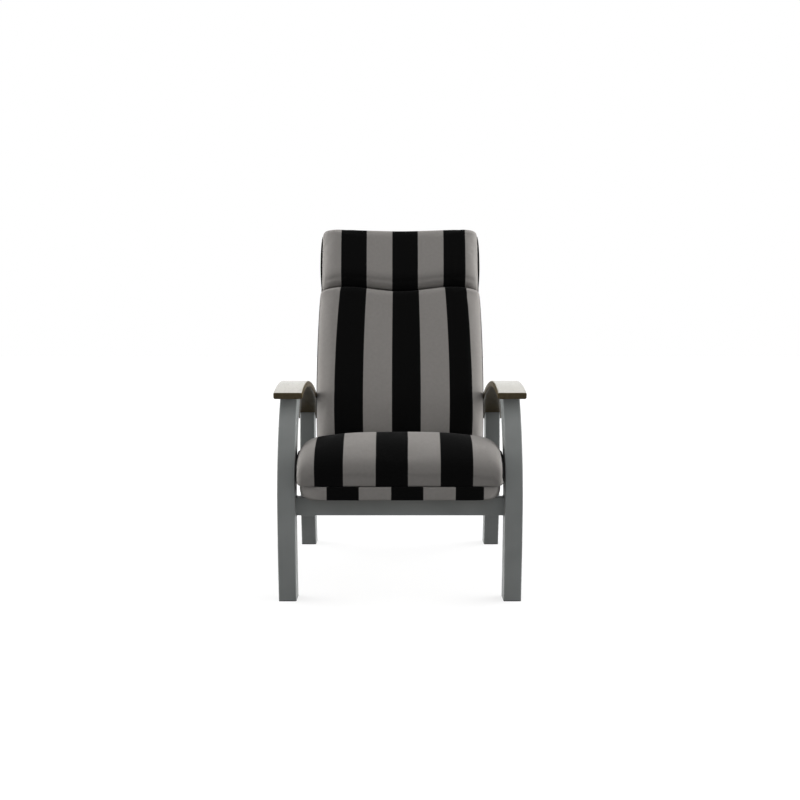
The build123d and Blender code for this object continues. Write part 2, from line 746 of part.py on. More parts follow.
# Release lever: cross shaft, finger, blade and grip on the sitter's right

bearer_outer = bearer_centre + bearer_width / 2
lever_inner = bearer_outer + lever_gap
lever_outer = lever_inner + lever_plate
shaft_end = cheek_far + shaft_tail
pieces["lever_shaft"] = rod((-lever_outer, shaft_y, shaft_z), (1, 0, 0), shaft_diameter,
                            lever_outer + shaft_end)
shaft_hole = rod((-lever_outer, shaft_y, shaft_z), (1, 0, 0), shaft_diameter + 2 * snug_fit,
                 lever_outer + shaft_end)
shaft_passage = rod((-lever_outer, shaft_y, shaft_z), (1, 0, 0),
                    shaft_diameter + 2 * running_fit, lever_outer + shaft_end)
shaft_bushes = []
for start, length in ((-bearer_outer, bearer_width), (-cheek_far, bracket_plate),
                      (cheek_near, bracket_plate)):
    ring = rod((start, shaft_y, shaft_z), (1, 0, 0), 2 * shaft_bush_radius, length)
    shaft_bushes.append(ring - shaft_passage)
pieces["shaft_bushes"] = Compound(shaft_bushes)
bearer_bore = rod((-bearer_outer, shaft_y, shaft_z), (1, 0, 0), 2 * shaft_bush_radius,
                  bearer_width)
pieces["seat_bearer_left"] = bearer
pieces["seat_bearer_right"] = bearer_right - bearer_bore

nose_place = (shaft_y + finger_nose_ahead, shaft_z + release_travel_arm)
finger = side_plate(link((shaft_y, shaft_z), finger_hub_radius, nose_place, finger_nose_radius),
                    -finger_width / 2, finger_width)
pieces["release_finger"] = finger - shaft_hole
droop = radians(lever_droop)
lever_end = (shaft_y - lever_reach * cos(droop), shaft_z - lever_reach * sin(droop))
blade = side_plate(link((shaft_y, shaft_z), lever_hub_radius, lever_end, lever_width / 2),
                   -lever_outer, lever_plate)
grip_middle = (lever_inner + lever_outer) / 2
grip_near = -lever_reach - lever_width / 2 - grip_edge
grip = block((-grip_middle - grip_width / 2, -grip_middle + grip_width / 2),
             (grip_near, grip_near + grip_length), (-grip_height / 2, grip_height / 2))
grip = fillet(grip.edges(), grip_edge)
grip = Pos(0, shaft_y, shaft_z) * Rot(lever_droop, 0, 0) * grip
pieces["release_lever"] = blade - shaft_hole
pieces["lever_grip"] = grip - blade

# Bring the middle of the chair over the origin, and write one file for each piece

boxes = [shape.bounding_box() for shape in pieces.values()]
middle_y = (min(box.min.Y for box in boxes) + max(box.max.Y for box in boxes)) / 2
os.makedirs("parts", exist_ok=True)
for name, shape in pieces.items():
    export_step(Pos(0, -middle_y, 0) * shape, f"parts/{name}.step")

print(f"{len(pieces)} pieces, Y moved by {-middle_y:.3f}")
print(f"hinge line      Y {hinge_y - middle_y:.3f}  Z {hinge_z:.3f}")
print(f"spring axis     Z {spring_z:.3f}  ratio {spring_stroke / radians(recline):.4f} mm/rad")
print(f"spring stroke   {spring_stroke:.3f}")
print(f"lever shaft     Y {shaft_y - middle_y:.3f}  Z {shaft_z:.3f}")
for name in ("front_glide_left", "rear_glide_left"):
    centre = (Pos(0, -middle_y, 0) * pieces[name]).faces().sort_by(Axis.Z)[0].center()
    print(f"{name:16}{centre.X:.3f} {centre.Y:.3f} {centre.Z:.3f}")
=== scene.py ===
# %% [markdown]
# A reclining garden armchair, dressed for its picture.
# The chair's construction arrives as a finished frame in metres: Z is up, the sitter faces -Y
# and X = 0 is the middle. Blender adds what the eye sees first, which is cloth, paint, timber
# and light. Where a piece sits is read from that frame. What is set here is only how its cloth
# swells, folds and is striped.

# %% Load the frame
import json
import math

import bmesh
import bpy
import numpy as np
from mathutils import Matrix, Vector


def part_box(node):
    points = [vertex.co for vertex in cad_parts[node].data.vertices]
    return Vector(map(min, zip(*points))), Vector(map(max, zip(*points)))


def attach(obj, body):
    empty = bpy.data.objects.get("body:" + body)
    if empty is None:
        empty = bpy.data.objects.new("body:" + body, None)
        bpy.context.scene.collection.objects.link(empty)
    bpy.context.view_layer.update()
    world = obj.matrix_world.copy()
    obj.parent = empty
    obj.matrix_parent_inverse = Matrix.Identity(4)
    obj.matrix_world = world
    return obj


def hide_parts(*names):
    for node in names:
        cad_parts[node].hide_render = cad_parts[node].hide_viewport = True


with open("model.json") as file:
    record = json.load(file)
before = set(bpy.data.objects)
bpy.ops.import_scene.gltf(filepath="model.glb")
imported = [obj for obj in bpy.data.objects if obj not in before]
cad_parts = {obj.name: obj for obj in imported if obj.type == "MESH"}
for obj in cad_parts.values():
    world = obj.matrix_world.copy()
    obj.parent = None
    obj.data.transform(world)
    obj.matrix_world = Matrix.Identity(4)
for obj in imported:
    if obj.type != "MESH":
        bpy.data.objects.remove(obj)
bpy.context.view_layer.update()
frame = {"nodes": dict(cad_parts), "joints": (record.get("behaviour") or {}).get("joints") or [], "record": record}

nodes = frame["nodes"]

# %% [markdown]
# A scene gets easier to read when the same few helpers make everything in it. The first turns
# a colour that was read on screen into the linear value that a shader wants: a screen squeezes
# light values, and a shader works with the light itself. The second makes a shade of it.


# %% Colours
def screen(red, green, blue):
    """Linear RGBA of a colour given as screen values from 0 to 255: the sRGB curve undone."""
    def linear(value):
        share = value / 255
        return share / 12.92 if share <= 0.04045 else ((share + 0.055) / 1.055) ** 2.4
    return (linear(red), linear(green), linear(blue), 1.0)


def shaded(colour, factor, lift=0.0):
    """A linear colour made darker or lighter: every channel times factor, plus lift."""
    return tuple(factor * channel + lift for channel in colour[:3]) + (1.0,)


# %% [markdown]
# The camera comes before any looks, because it decides which looks matter. The picture was
# taken from straight ahead, a little above the arms, looking slightly down. The focal length,
# height and tilt below are real camera values that put the feet, the arms and the top of the
# back where the photograph has them.

# %% Camera
front_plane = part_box("front_leg_left")[0].y      # foremost face of the front legs
camera_distance = 2.756
camera_height = 0.8797
camera_tilt_down = math.radians(5.836)
lens_mm = 43.47
sensor_mm = 36.0

camera_data = bpy.data.cameras.new("photo_camera")
camera_data.lens = lens_mm
camera_data.sensor_width = sensor_mm
camera = bpy.data.objects.new("photo_camera", camera_data)
camera.location = (0.0, front_plane - camera_distance, camera_height)
camera.rotation_euler = (math.pi / 2 - camera_tilt_down, 0.0, 0.0)
bpy.context.scene.collection.objects.link(camera)
bpy.context.scene.camera = camera
print(f"camera {camera_distance:.2f} m in front of the legs, {camera_height:.2f} m up")

# %% [markdown]
# A material is a small graph of nodes. Writing each graph by hand is slow and hard to read, so
# these helpers give short ways to add a node and to join two of them, and start a material.
# Colours and numbers that are the same all over go straight on the shader, where every exporter
# finds them.


# %% Shader graph helper
class NodeGraph:
    """Short calls that add nodes to a tree, for a material or the world."""

    def __init__(self, tree):
        self.tree = tree

    def add(self, kind, settings=None, **inputs):
        """A node of a kind, with its settings, and its inputs joined or filled in."""
        made = self.tree.nodes.new("ShaderNode" + kind)
        for name, value in (settings or {}).items():
            setattr(made, name, value)
        for name, value in inputs.items():
            self.put(made.inputs[name.replace("_", " ")], value)
        return made

    def put(self, socket, value):
        """Join an output to a socket, or write a plain value on it."""
        if isinstance(value, bpy.types.NodeSocket):
            self.tree.links.new(value, socket)
        else:
            socket.default_value = value

    def math(self, operation, first, second=0.0, third=0.0):
        """One arithmetic step, and its result."""
        made = self.tree.nodes.new("ShaderNodeMath")
        made.operation = operation
        for socket, value in zip(made.inputs, (first, second, third)):
            self.put(socket, value)
        return made.outputs[0]

    def mix(self, share, first, second):
        """A blend of two colours by a share."""
        made = self.tree.nodes.new("ShaderNodeMix")
        made.data_type = "RGBA"
        for socket, value in ((made.inputs[0], share), (made.inputs[6], first),
                              (made.inputs[7], second)):
            self.put(socket, value)
        return made.outputs[2]

    def ramp(self, value, low, high, to_low=0.0, to_high=1.0):
        """A value carried smoothly from one range to another."""
        made = self.add("MapRange", {"interpolation_type": "SMOOTHSTEP"}, Value=value)
        for name, number in (("From Min", low), ("From Max", high), ("To Min", to_low),
                             ("To Max", to_high)):
            made.inputs[name].default_value = number
        return made.outputs[0]

    def noise(self, where, scale, detail=2.0, roughness=0.5):
        """Soft noise from 0 to 1 at points."""
        made = self.add("TexNoise", Vector=where, Scale=scale, Detail=detail,
                        Roughness=roughness)
        return made.outputs["Fac"]

    def bump(self, height, distance, strength):
        """Surface relief from a height from 0 to 1, as deep as the distance in metres."""
        made = self.add("Bump", Height=height, Distance=distance, Strength=strength)
        return made.outputs["Normal"]


class Graph(NodeGraph):
    """A new material with its output and one Principled shader."""

    def __init__(self, name, roughness=0.5, metallic=0.0, specular=0.5):
        self.material = bpy.data.materials.new(name)
        self.material.use_nodes = True
        super().__init__(self.material.node_tree)
        self.shader = next(n for n in self.tree.nodes if n.type == "BSDF_PRINCIPLED")
        self.shader.inputs["Roughness"].default_value = roughness
        self.shader.inputs["Metallic"].default_value = metallic
        self.shader.inputs["Specular IOR Level"].default_value = specular

    def finish(self, **sockets):
        """Join the last results to the shader's sockets, and hand over the material."""
        for name, value in sockets.items():
            self.put(self.shader.inputs[name.replace("_", " ")], value)
        return self.material


# %% [markdown]
# The frame is powder coated. Powder melts into a skin that is never quite flat: close to, it
# has the fine dimples of orange peel, and its gloss changes a little from place to place. So the
# colour is one grey with a faint drift, and the bump is a fine noise a couple of millimetres
# across. Both read Object coordinates, which are metres here, so they keep their size.


# %% Powder coat
def powder_coat(name, colour, roughness=0.42):
    """Painted steel: one colour with a slow drift, orange peel, and gloss that varies."""
    graph = Graph(name, roughness=roughness, specular=0.35)
    where = graph.add("TexCoord").outputs["Object"]
    drift = graph.noise(where, scale=6.0, detail=3.0)
    cloud = graph.noise(where, scale=30.0, detail=3.0)
    peel = graph.noise(where, scale=420.0, detail=1.0)
    darker, lighter = shaded(colour, 0.9), shaded(colour, 1.08)
    return graph.finish(
        Base_Color=graph.mix(graph.ramp(drift, 0.3, 0.7), darker, lighter),
        Roughness=graph.ramp(cloud, 0.3, 0.7, roughness - 0.05, roughness + 0.07),
        Normal=graph.bump(peel, distance=0.00008, strength=0.6))


frame_paint = powder_coat("frame_paint", screen(119, 122, 121))
black_enamel = powder_coat("black_enamel", screen(34, 34, 35), roughness=0.35)
print("powder coat of", len(frame_paint.node_tree.nodes), "nodes")

# %% [markdown]
# The arms are timber, stained brown and lacquered. Timber grain is stretched noise: the same
# noise squeezed across the board and drawn out along it. A second, much finer noise gives the
# open pores that catch the light, and the bump comes from the pores alone. A third value, how
# far a face looks up, paints the tops pale: a painted highlight for the gloss on the tops.


# %% Stained timber
def timber(name, dark, light, along="Y", roughness=0.38, lacquer=0.0, pale_top_highlight=None):
    """Wood: noise drawn out along the grain, with fine pores, under more or less of a satin
    lacquer. With a top colour given, faces that look up take that colour, a painted highlight."""
    graph = Graph(name, roughness=roughness, specular=0.05)
    graph.shader.inputs["Coat Weight"].default_value = lacquer
    graph.shader.inputs["Coat Roughness"].default_value = 0.14
    graph.shader.inputs["Coat IOR"].default_value = 1.25
    with_grain, against_grain = 3.0, 60.0
    place = graph.add("Mapping", Vector=graph.add("TexCoord").outputs["Object"])
    place.inputs["Scale"].default_value = [with_grain if axis == along else against_grain
                                           for axis in "XYZ"]
    grain = graph.noise(place.outputs[0], scale=1.0, detail=4.0, roughness=0.6)
    pores = graph.noise(place.outputs[0], scale=9.0, detail=2.0, roughness=0.7)
    tone = graph.mix(graph.ramp(grain, 0.3, 0.72), dark, light)
    if pale_top_highlight is not None:
        # Faces that look up are painted pale: a painted highlight for the gloss on the tops.
        looks_up = graph.add("SeparateXYZ", Vector=graph.add("NewGeometry").outputs["Normal"])
        top_highlight_share = graph.math("MULTIPLY", graph.ramp(looks_up.outputs["Z"], 0.55, 0.97),
                             graph.math("MULTIPLY_ADD", grain, 0.3, 0.8))
        tone = graph.mix(top_highlight_share, tone, pale_top_highlight)
    pore_share = graph.ramp(pores, 0.56, 0.72)
    in_pores = graph.math("MULTIPLY", pore_share, 0.3)
    closed_grain = graph.math("SUBTRACT", 1.0, pore_share)
    return graph.finish(
        Base_Color=graph.mix(in_pores, tone, shaded(dark, 0.62)),
        Roughness=graph.ramp(pores, 0.4, 0.75, roughness - 0.04, roughness + 0.12),
        Normal=graph.bump(closed_grain, distance=0.00012, strength=0.5))


# The arms' pale top colour is a painted highlight.
arm_wood = timber("arm_wood", screen(62, 52, 31), screen(74, 64, 42), lacquer=0.6,
                  pale_top_highlight=screen(178, 176, 170))
plywood = timber("plywood", screen(176, 146, 106), screen(205, 178, 138), along="X",
                 roughness=0.6)
print("timber of", len(arm_wood.node_tree.nodes), "nodes for the arms, and",
      len(plywood.node_tree.nodes), "for the boards")

# %% [markdown]
# Awning cloth is a plain weave of thick acrylic yarn, so its stripes are woven in, not printed:
# they run with the cloth round every corner. The pattern therefore can't come from object
# space. Each cushion below carries a map called "cloth", whose two numbers run across and along
# the cloth, and the stripes, the yarns and the lint all read that. Both are metres on black
# cloth. On striped cloth the first counts stripes instead.


# %% Awning cloth
yarn_pitch = 0.0011            # one over-and-under of the weave
yarn_depth = 0.00025           # how far the yarns stand out
slub_scale = 90.0              # slubs, the thick places in a yarn, in a metre
stripe_edge = 0.0012           # how softly one stripe passes into the next


def weave_height(graph, across, along):
    """Height of a plain weave from 0 to 1: warp and weft bulge in turn, like a chequer of
    half sine waves."""
    turn = math.pi / yarn_pitch
    warp = graph.math("SINE", graph.math("MULTIPLY", across, turn))
    weft = graph.math("SINE", graph.math("MULTIPLY", along, turn))
    cross = graph.math("MULTIPLY", warp, weft)
    return graph.math("MULTIPLY_ADD", cross, 0.5, 0.5)


def cloth_shader(name, roughness):
    """The start that both cloths share: the map, hardly any gloss, and a trace of sheen for the
    loose fibres."""
    graph = Graph(name, roughness=roughness, specular=0.03)
    graph.shader.inputs["Sheen Weight"].default_value = 0.02
    graph.shader.inputs["Sheen Roughness"].default_value = 0.5
    cloth = graph.add("UVMap", {"uv_map": "cloth"}).outputs[0]
    split = graph.add("SeparateXYZ", Vector=cloth)
    return graph, cloth, split.outputs["X"], split.outputs["Y"]


def striped_cloth(name, dark, light, pitch):
    """Two-colour block stripe. The map's X counts whole stripes, so its Y is metres only."""
    graph, _, across, along = cloth_shader(name, 0.82)
    half = graph.math("MULTIPLY", across, 0.5)
    place = graph.math("ABSOLUTE", graph.math("SUBTRACT", graph.math("FRACT", half), 0.5))
    soft = stripe_edge / pitch / 2
    is_light = graph.ramp(place, 0.25 - soft, 0.25 + soft)
    metres_across = graph.math("MULTIPLY", across, pitch)
    height = weave_height(graph, metres_across, along)
    where = graph.add("CombineXYZ", X=metres_across, Y=along).outputs[0]
    slub = graph.noise(where, scale=slub_scale, detail=3.0)
    fade = graph.noise(where, scale=4.0, detail=2.0)
    tone = graph.mix(is_light, dark, light)
    yarn_tone_and_weave_shade = graph.math("MULTIPLY_ADD", slub, 0.14, 0.88)
    yarn_tone_and_weave_shade = graph.math("MULTIPLY", yarn_tone_and_weave_shade, graph.math("MULTIPLY_ADD", fade, 0.12, 0.94))
    # Slubs and fading are the yarn's own tone; the weave's hollows are painted darker than its crowns, a painted
    # shade.
    yarn_tone_and_weave_shade = graph.math("MULTIPLY", yarn_tone_and_weave_shade, graph.math("MULTIPLY_ADD", height, 0.16, 0.9))
    scaled = graph.add("VectorMath", {"operation": "SCALE"}, Vector=tone, Scale=yarn_tone_and_weave_shade)
    return graph.finish(Base_Color=scaled.outputs[0],
                        Normal=graph.bump(height, distance=yarn_depth, strength=0.55))


def plain_cloth(name, colour):
    """One colour of the same cloth, with its weave, slubs and a trace of lint."""
    graph, cloth, across, along = cloth_shader(name, 0.85)
    height = weave_height(graph, across, along)
    slub = graph.noise(cloth, scale=slub_scale, detail=3.0)
    lint = shaded(colour, 1.0, lift=0.004)
    return graph.finish(Base_Color=graph.mix(graph.ramp(slub, 0.35, 0.8), colour, lint),
                        Normal=graph.bump(height, distance=yarn_depth, strength=0.55))


stripe_pitch = 0.0935
cloth_black = screen(8, 8, 8)
cloth_grey = screen(136, 133, 130)
striped = striped_cloth("stripe_fabric", cloth_black, cloth_grey, stripe_pitch)
black_cloth = plain_cloth("black_fabric", cloth_black)
print(f"striped cloth with stripes of {stripe_pitch * 1000:.1f} mm, and a plain black one")

# %% [markdown]
# The hardware is small and mostly hidden, but a chair is turned over sooner or later. Zinc plate
# is a bright, slightly cloudy metal; hard chrome is smoother; moulded plastic has the fine
# texture of its mould. One function for metals and one for plastics are enough.


# %% Metals and plastics
def bare_metal(name, colour, roughness, cloud=0.08):
    """Plated steel: a cloudy reflection whose roughness drifts."""
    graph = Graph(name, roughness=roughness, metallic=1.0)
    where = graph.add("TexCoord").outputs["Object"]
    drift = graph.noise(where, scale=140.0, detail=3.0)
    grit = graph.noise(where, scale=900.0, detail=1.0)
    return graph.finish(Base_Color=graph.mix(drift, shaded(colour, 0.82), colour),
                        Roughness=graph.ramp(drift, 0.25, 0.75, roughness, roughness + cloud),
                        Normal=graph.bump(grit, distance=0.00003, strength=0.4))


def moulded(name, colour, roughness=0.55):
    """Moulded plastic with an even, fine grained skin."""
    graph = Graph(name, roughness=roughness, specular=0.4)
    where = graph.add("TexCoord").outputs["Object"]
    paler = shaded(colour, 1.25, lift=0.004)
    flow = graph.noise(where, scale=25.0, detail=2.0)
    grain = graph.noise(where, scale=1400.0, detail=1.0)
    return graph.finish(Base_Color=graph.mix(flow, colour, paler),
                        Roughness=graph.ramp(grain, 0.3, 0.7, roughness - 0.05, roughness + 0.1),
                        Normal=graph.bump(grain, distance=0.00006, strength=0.6))


zinc = bare_metal("zinc_steel", screen(200, 200, 196), roughness=0.28)
chrome = bare_metal("rod_chrome", screen(214, 214, 214), roughness=0.08, cloud=0.04)
foot_plastic = moulded("foot_plastic", screen(38, 38, 38))
grip_plastic = moulded("grip_plastic", screen(30, 30, 31))
bush_plastic = moulded("bush_plastic", screen(222, 220, 210), roughness=0.4)
print("two metals and three plastics")

# %% [markdown]
# Pieces whose solid already has the right form only need their finish. The frame's record says
# which slot each of them takes, so one table from slot to material dresses them all.

# %% Dress the rigid pieces
finish_of_slot = {
    "frame_paint": frame_paint, "black_steel": black_enamel, "arm_wood": arm_wood,
    "plywood": plywood, "zinc_steel": zinc, "rod_chrome": chrome,
    "foot_plastic": foot_plastic, "grip_plastic": grip_plastic, "bush_plastic": bush_plastic,
    "stripe_fabric": striped, "black_fabric": black_cloth,
}
for part in frame["record"]["subparts"]:
    mesh = nodes[part["node"]].data
    mesh.materials.clear()
    mesh.materials.append(finish_of_slot[part["material_slot"]])
print(len(nodes), "rigid pieces dressed")

# %% [markdown]
# Every new shape in this file is a grid of points: a function of two numbers is worked out for
# the whole grid at once, and one call puts the result into a mesh. The grid wraps round in one
# direction, as the cloth round a cushion does, and may be closed to a point at either end. The
# points of a closed end are merged, because a cloth simulation stops at edges without a length.


# %% Mesh from a grid
same_place = 1e-6              # points closer than this are one, in metres


def mesh_points(mesh):
    """Points of a mesh, one row each."""
    flat = np.empty(3 * len(mesh.vertices))
    mesh.vertices.foreach_get("co", flat)
    return flat.reshape(-1, 3)


def grid_faces(rows, columns, wrap):
    """Corner numbers of the quads between neighbouring points of a grid; with wrap, the last
    row joins the first."""
    row = np.arange(rows if wrap else rows - 1)[:, None]
    column = np.arange(columns - 1)[None, :]
    after = (row + 1) % rows
    quads = np.stack([row * columns + column, row * columns + column + 1,
                      after * columns + column + 1, after * columns + column], axis=-1)
    return quads.reshape(-1, 4)


def face_corners(count, columns):
    """Grid row and column of the four corners of each of count quads, as grid_faces orders
    them. Where the grid wraps, the row after the last one is counted on."""
    face = np.arange(count)[:, None]
    return (face // (columns - 1) + np.array([0, 0, 1, 1]),
            face % (columns - 1) + np.array([0, 1, 1, 0]))


def mesh_object(name, points, faces, finishes, face_finish=None, cloth=None):
    """A smooth shaded mesh object from points and faces, with its cloth map per face corner.
    Points in one place, as at the closed end of a grid, become one."""
    mesh = bpy.data.meshes.new(name)
    mesh.from_pydata(points.reshape(-1, 3).tolist(), [], np.asarray(faces).tolist())
    for finish in finishes:
        mesh.materials.append(finish)
    if face_finish is not None:
        mesh.polygons.foreach_set("material_index", np.asarray(face_finish, dtype=np.int32))
    if cloth is not None:
        layer = mesh.uv_layers.new(name="cloth")
        layer.data.foreach_set("uv", np.asarray(cloth, dtype=np.float32).ravel())
    mesh.polygons.foreach_set("use_smooth", np.ones(len(mesh.polygons), dtype=bool))
    joined = bmesh.new()
    joined.from_mesh(mesh)
    bmesh.ops.remove_doubles(joined, verts=joined.verts, dist=same_place)
    joined.to_mesh(mesh)
    joined.free()
    mesh.validate()
    mesh.update()
    made = bpy.data.objects.new(name, mesh)
    bpy.context.scene.collection.objects.link(made)
    return made


# %% [markdown]
# Places come from the frame, and the cushions' places are measured here. The back is built
# upright about its hinge and then leant back, so its pieces are easier to describe in a frame
# that leans with it: x across, depth behind the hinge line, and height up the back.

# %% Places on the chair
back_lean = math.radians(18)
recline = next(joint for joint in frame["joints"] if joint["name"] == "back_recline")
hinge_y, hinge_z = recline["pos_m"][1:]


def to_back(points):
    """Points of the chair in the back's leaning frame: x, depth, height."""
    y, z = points[..., 1] - hinge_y, points[..., 2] - hinge_z
    cosine, sine = math.cos(back_lean), math.sin(back_lean)
    return np.stack([points[..., 0], y * cosine - z * sine, y * sine + z * cosine], axis=-1)


def from_back(points):
    """The way back: depth and height of the leaning frame as places on the chair."""
    depth, height = points[..., 1], points[..., 2]
    cosine, sine = math.cos(back_lean), math.sin(back_lean)
    return np.stack([points[..., 0], hinge_y + depth * cosine + height * sine,
                     hinge_z - depth * sine + height * cosine], axis=-1)


def back_box(name):
    """Lowest and highest corner of a piece in the back's leaning frame."""
    points = to_back(mesh_points(nodes[name].data))
    return points.min(axis=0), points.max(axis=0)


seat_low, seat_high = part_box("seat_cushion")
band_low, band_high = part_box("seat_base")
rest_low, rest_high = back_box("back_cushion")
head_low, head_high = back_box("headrest_cushion")
cover_low, cover_high = back_box("back_cover")
print("seat cushion", [round(v, 4) for v in (*seat_low, *seat_high)])
print("back cushion", rest_low.round(4), rest_high.round(4))
print("headrest", head_low.round(4), head_high.round(4))
print("cover", cover_low.round(4), cover_high.round(4))

# %% [markdown]
# All the cushions of this chair are made the same way. One length of striped cloth is wrapped
# round the foam, and a black panel closes each end. So one cross-section, a rounded rectangle
# seen from the side, is carried from one side of the chair to the other. A box with bevels could
# do it too, but here each corner has a width and a height of its own, so a formula is simpler.


# %% A cushion's cross-section
def smooth(share):
    """A soft step from 0 to 1: 3 s^2 - 2 s^3."""
    share = np.clip(share, 0.0, 1.0)
    return share * share * (3 - 2 * share)


def rounded_loop(p_low, p_high, q_low, q_high, corners, counts):
    """Closed outline of a rounded rectangle in the plane (p, q), one column per station. It
    starts at the rear end of the bottom and runs forwards. Every corner is a quarter ellipse
    p = a (1 - sin s), q = b (1 - cos s), with a pair (a, b) per corner: front bottom, front
    top, rear top, rear bottom. counts are the points on bottom, corner, front, corner and so on."""
    (a0, b0), (a1, b1), (a2, b2), (a3, b3) = corners

    def edge(count, p_from, q_from, p_to, q_to):
        step = np.linspace(0.0, 1.0, count, endpoint=False)[:, None]
        return p_from + (p_to - p_from) * step, q_from + (q_to - q_from) * step

    def turn(count, p_centre, q_centre, p_half, q_half, start):
        angle = start + np.linspace(0.0, math.pi / 2, count, endpoint=False)[:, None]
        return p_centre - p_half * np.sin(angle), q_centre - q_half * np.cos(angle)

    quarter = math.pi / 2
    pieces = [
        edge(counts[0], p_high - a3, q_low, p_low + a0, q_low),
        turn(counts[1], p_low + a0, q_low + b0, a0, b0, 0),
        edge(counts[2], p_low, q_low + b0, p_low, q_high - b1),
        turn(counts[3], p_low + a1, q_high - b1, a1, b1, quarter),
        edge(counts[4], p_low + a1, q_high, p_high - a2, q_high),
        turn(counts[5], p_high - a2, q_high - b2, a2, b2, 2 * quarter),
        edge(counts[6], p_high, q_high - b2, p_high, q_low + b3),
        turn(counts[7], p_high - a3, q_low + b3, a3, b3, 3 * quarter),
    ]
    return (np.concatenate([p + 0 * p_low for p, _ in pieces]),
            np.concatenate([q + 0 * p_low for _, q in pieces]))


# %% [markdown]
# On its way across, the cross-section shrinks near the ends along a quarter ellipse, which
# rounds the long edges, each side by its own amount. The end panel bulges a little, like any
# stuffed cover, and closes to a point in its middle.

# %% A cushion's surface
ring_crowding = 1.7            # above 1, the rings of an end panel lie closer to its seam


def edge_drop(x, half, reach, amount):
    """Quarter ellipse that ends at x = half: amount (1 - sqrt(1 - t^2)), with t running from 0
    to 1 over the reach."""
    share = np.clip((np.abs(x) - (half - reach)) / reach, 0.0, 1.0)
    return amount * (1 - np.sqrt(1 - share ** 2))


def stations(half, reach, counts, bulge, boxy):
    """Places across a cushion from one pole to the other, and how far each cross-section is
    kept: 1 over the cloth, then down to 0 in the end panel, while x bulges by the superellipse
    b (1 - r^n)^(1/n). The first rings lie close to the seam, where it bends most."""
    flat, turn, panel = counts
    angle = np.linspace(0.0, math.pi / 2, turn + 1)[1:]
    rest = 1 - np.linspace(0.0, 1.0, panel + 1)[1:] ** ring_crowding
    right = np.concatenate([np.linspace(0.0, half - reach, flat),
                            half - reach + reach * np.sin(angle),
                            half + bulge * (1 - rest ** boxy) ** (1 / boxy)])
    keep = np.concatenate([np.ones(flat + turn), rest])
    return (np.concatenate([-right[:0:-1], right]), np.concatenate([keep[:0:-1], keep]))


def cushion_points(shape, low, high, low_wave=0.0, high_wave=0.0):
    """Points (x, p, q) of a cushion between the extents low and high of (p, q), as a grid of
    loop positions by stations. shape holds the named sizes; the waves lift the lower and upper
    side by a function of x."""
    half, bulge = shape["half"], shape["bulge"]
    x, keep = stations(half, shape["reach"], shape["across"], bulge, shape["boxy"])
    drops = [edge_drop(x, half, *shape[side]) for side in ("front", "rear", "bottom", "top")]
    p_low, p_high = low[0] + drops[0], high[0] - drops[1]
    q_low = low[1] + drops[2] + (low_wave(x) if low_wave else 0)
    q_high = high[1] - drops[3] + (high_wave(x) if high_wave else 0)
    p, q = rounded_loop(p_low, p_high, q_low, q_high, shape["corners"], shape["round"])
    p_middle, q_middle = (p_low + p_high) / 2, (q_low + q_high) / 2
    p = p_middle + (p - p_middle) * keep
    q = q_middle + (q - q_middle) * keep
    return np.stack([x + 0 * p, p, q], axis=-1)


# %% [markdown]
# The cloth map has to be honest, or the weave would swim. Across the cloth it is the distance
# walked over the surface from the middle, counted in stripes, and along the cloth the distance
# walked round the loop. The sewer eases the cloth in or stretches it a little on the way, so a
# row of the grid may have a stripe pitch of its own.


# %% Cloth map and the finished cushion
def walked_along(line, closed=False):
    """Distance walked to each point of a line. A closed line comes back to its first point."""
    if closed:
        line = np.concatenate([line, line[:1]])
    steps = np.linalg.norm(np.diff(line, axis=0), axis=1)
    return np.concatenate([[0], np.cumsum(steps)])


def stripe_count(walked, centre, pitch, pulled):
    """Stripes counted across the cloth, with a black one centred on 1 at the place centre.
    pulled says where the sewer drew the cloth in: between two distances to one side the count
    gains a share of a stripe, s = share * smooth((w - w0) / (w1 - w0))."""
    near, far, share = pulled
    outwards = math.copysign(1, far)
    gained = share * smooth((walked * outwards - abs(near)) / (abs(far) - abs(near)))
    return (walked - centre) / pitch + 1 + outwards * gained


def cushion_object(name, points, across, centre, pitch, pulled):
    """Mesh of a cushion: striped round the loop, black on the end panels. centre is the place
    of one black stripe's middle in metres, pitch the width of a stripe in each row."""
    rows, columns = points.shape[:2]
    middle, panel = columns // 2, across[2]
    walked = np.cumsum(np.linalg.norm(np.diff(points, axis=1), axis=2), axis=1)
    walked = np.concatenate([np.zeros((rows, 1)), walked], axis=1)
    walked = walked - walked[:, middle][:, None]
    pitch = np.broadcast_to(pitch, rows)[:, None]
    centre = np.broadcast_to(centre, rows)[:, None]
    stripes = stripe_count(walked, centre, pitch, pulled)
    along = walked_along(points[:, middle], closed=True)
    faces = grid_faces(rows, columns, wrap=True)
    corner_row, corner_column = face_corners(len(faces), columns)
    face_column = corner_column[:, 0]
    is_panel = (face_column < panel) | (face_column >= columns - 1 - panel)
    wrapped = np.stack([stripes[corner_row % rows, corner_column], along[corner_row]], axis=-1)
    flat = points[corner_row % rows, corner_column][..., 1:]
    cloth = np.where(is_panel[:, None, None], flat, wrapped)
    return mesh_object(name, points, faces, [striped, black_cloth], is_panel.astype(int), cloth)


# %% [markdown]
# Foam in a sewn cover never lies quite as drawn: between the seams the cloth is blown out, and
# beside them it puckers. A short cloth simulation adds just that. The end panels are pinned
# with their seams, air pressure stands in for the foam, and gravity is off, because the foam
# carries the cloth. The drawn surface already has the crown and the rounded edges, so the
# result may leave it by a small reach only, and the cushion keeps its form.

# %% Stuffing
stuffing_reach = 0.002         # how far the cloth may be blown out of the drawn surface
not_moved = 1e-9               # keeps a point that hasn't moved from a division by zero


